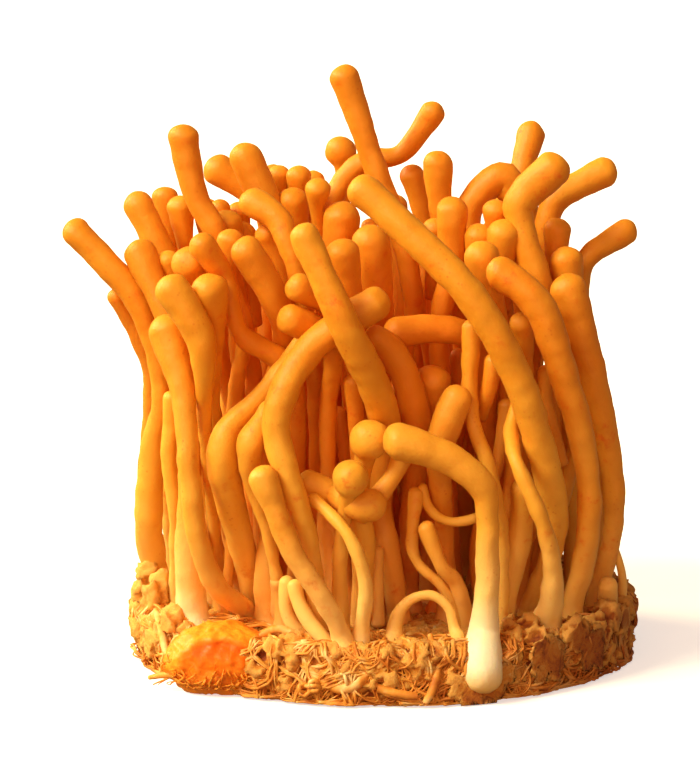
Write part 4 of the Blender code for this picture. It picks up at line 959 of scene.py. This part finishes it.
thick = []
for points in SHOWN_ROOTS.values():
    rings = np.array([(*place_seen(*point[:3]), point[3] / 2 * MM) for point in points])
    fine_run, _ = smooth_line(rings, THREAD_STEP)
    thick.append([(row[:3], row[3]) for row in fine_run])
nest = []
for step in range(NEST_STEPS):
    turn = 2 * math.pi * NEST_TURNS * step / (NEST_STEPS - 1)
    size = NEST_RADIUS * (0.55 + 0.45 * math.sin(2.1 * turn))
    across, up = NEST_SPOT[0] + size * math.cos(turn), NEST_SPOT[1] + size * math.sin(turn)
    nest.append((place_seen(across, up, NEST_SPOT[2] - 0.9 * math.sin(1.7 * turn)), NEST_GIRTH))
thick.append(nest)
roots = thread_curve("thick_roots", thick, roundness=3)
grow_skin(roots, lump=0.25 * MM)

# Threads combed down over the orange lobe's hollow front
combed = []
for index in range(LOBE_THREADS):
    side, start = chance.uniform(-0.9, 0.9), chance.uniform(-0.5, 0.30)
    girth, swing = chance.uniform(0.06, 0.24) * MM, chance.uniform(0, 6)
    slant = chance.uniform(-0.30, 0.10)
    thread = []
    for step in range(LOBE_STEPS + 1):
        # Place on a ball of radius 1, which is then given the lobe's size
        fall = start - step / LOBE_STEPS * (start + 0.60)
        wavy = side * (1 + 0.20 * math.sin(swing + 0.35 * step)) * (1.06 - 0.12 * abs(fall))
        wide = wavy + slant * step / LOBE_STEPS
        front = math.sqrt(max(0.05, 1 - wide ** 2 - fall ** 2))
        out = 1.0 - LOBE_HOLLOW * 0.55 + 0.05 * math.sin(swing + 0.7 * step)
        spot = Vector((wide * LOBE_SIZE.x, -front * out * LOBE_SIZE.y, fall * LOBE_SIZE.z))
        thinned = 0.4 + 0.6 * math.sin(math.pi * (0.1 + 0.8 * step / LOBE_STEPS))
        thread.append((LOBE_CENTRE + spot, girth * thinned))
    combed.append(thread)
lobe_threads = thread_curve("combed_lobe_threads", combed)
lobe_threads.data.materials.append(lobe_skin)
finish_substrate(lobe_threads)

# Fine dry fibres, dull: cream where they lie in the light and rusty in between
thread_skin, tree, shader = new_material("dry_mycelium_threads")
place = add_node(tree, "ShaderNodeTexCoord").outputs["Object"]
# The tint changes over about 3 mm
tints = colour_ramp(tree, noise(tree, place, 330.0, 3.0), (
    (0.35, "#C4701C"), (0.52, "#EAA040"), (0.74, "#FAE0A8")))
# Browner towards the right-hand side, as the crumb below them is
apart = add_node(tree, "ShaderNodeSeparateXYZ", links={0: place})
rightward = remap(tree, apart.outputs["X"], (0.004, 0.034), (0.0, 0.75))
browned = lay_over(tree, rightward, tints, "#A87848", "MULTIPLY")
set_node(tree, shader, {"Roughness": 0.6, "Subsurface Weight": 0.2,
                        "Subsurface Radius": (1.0, 0.5, 0.2), "Subsurface Scale": 0.5 * MM},
         {"Base Color": browned})
for piece in (threads, front_threads, roots):
    piece.data.materials.append(thread_skin)
    finish_substrate(piece)
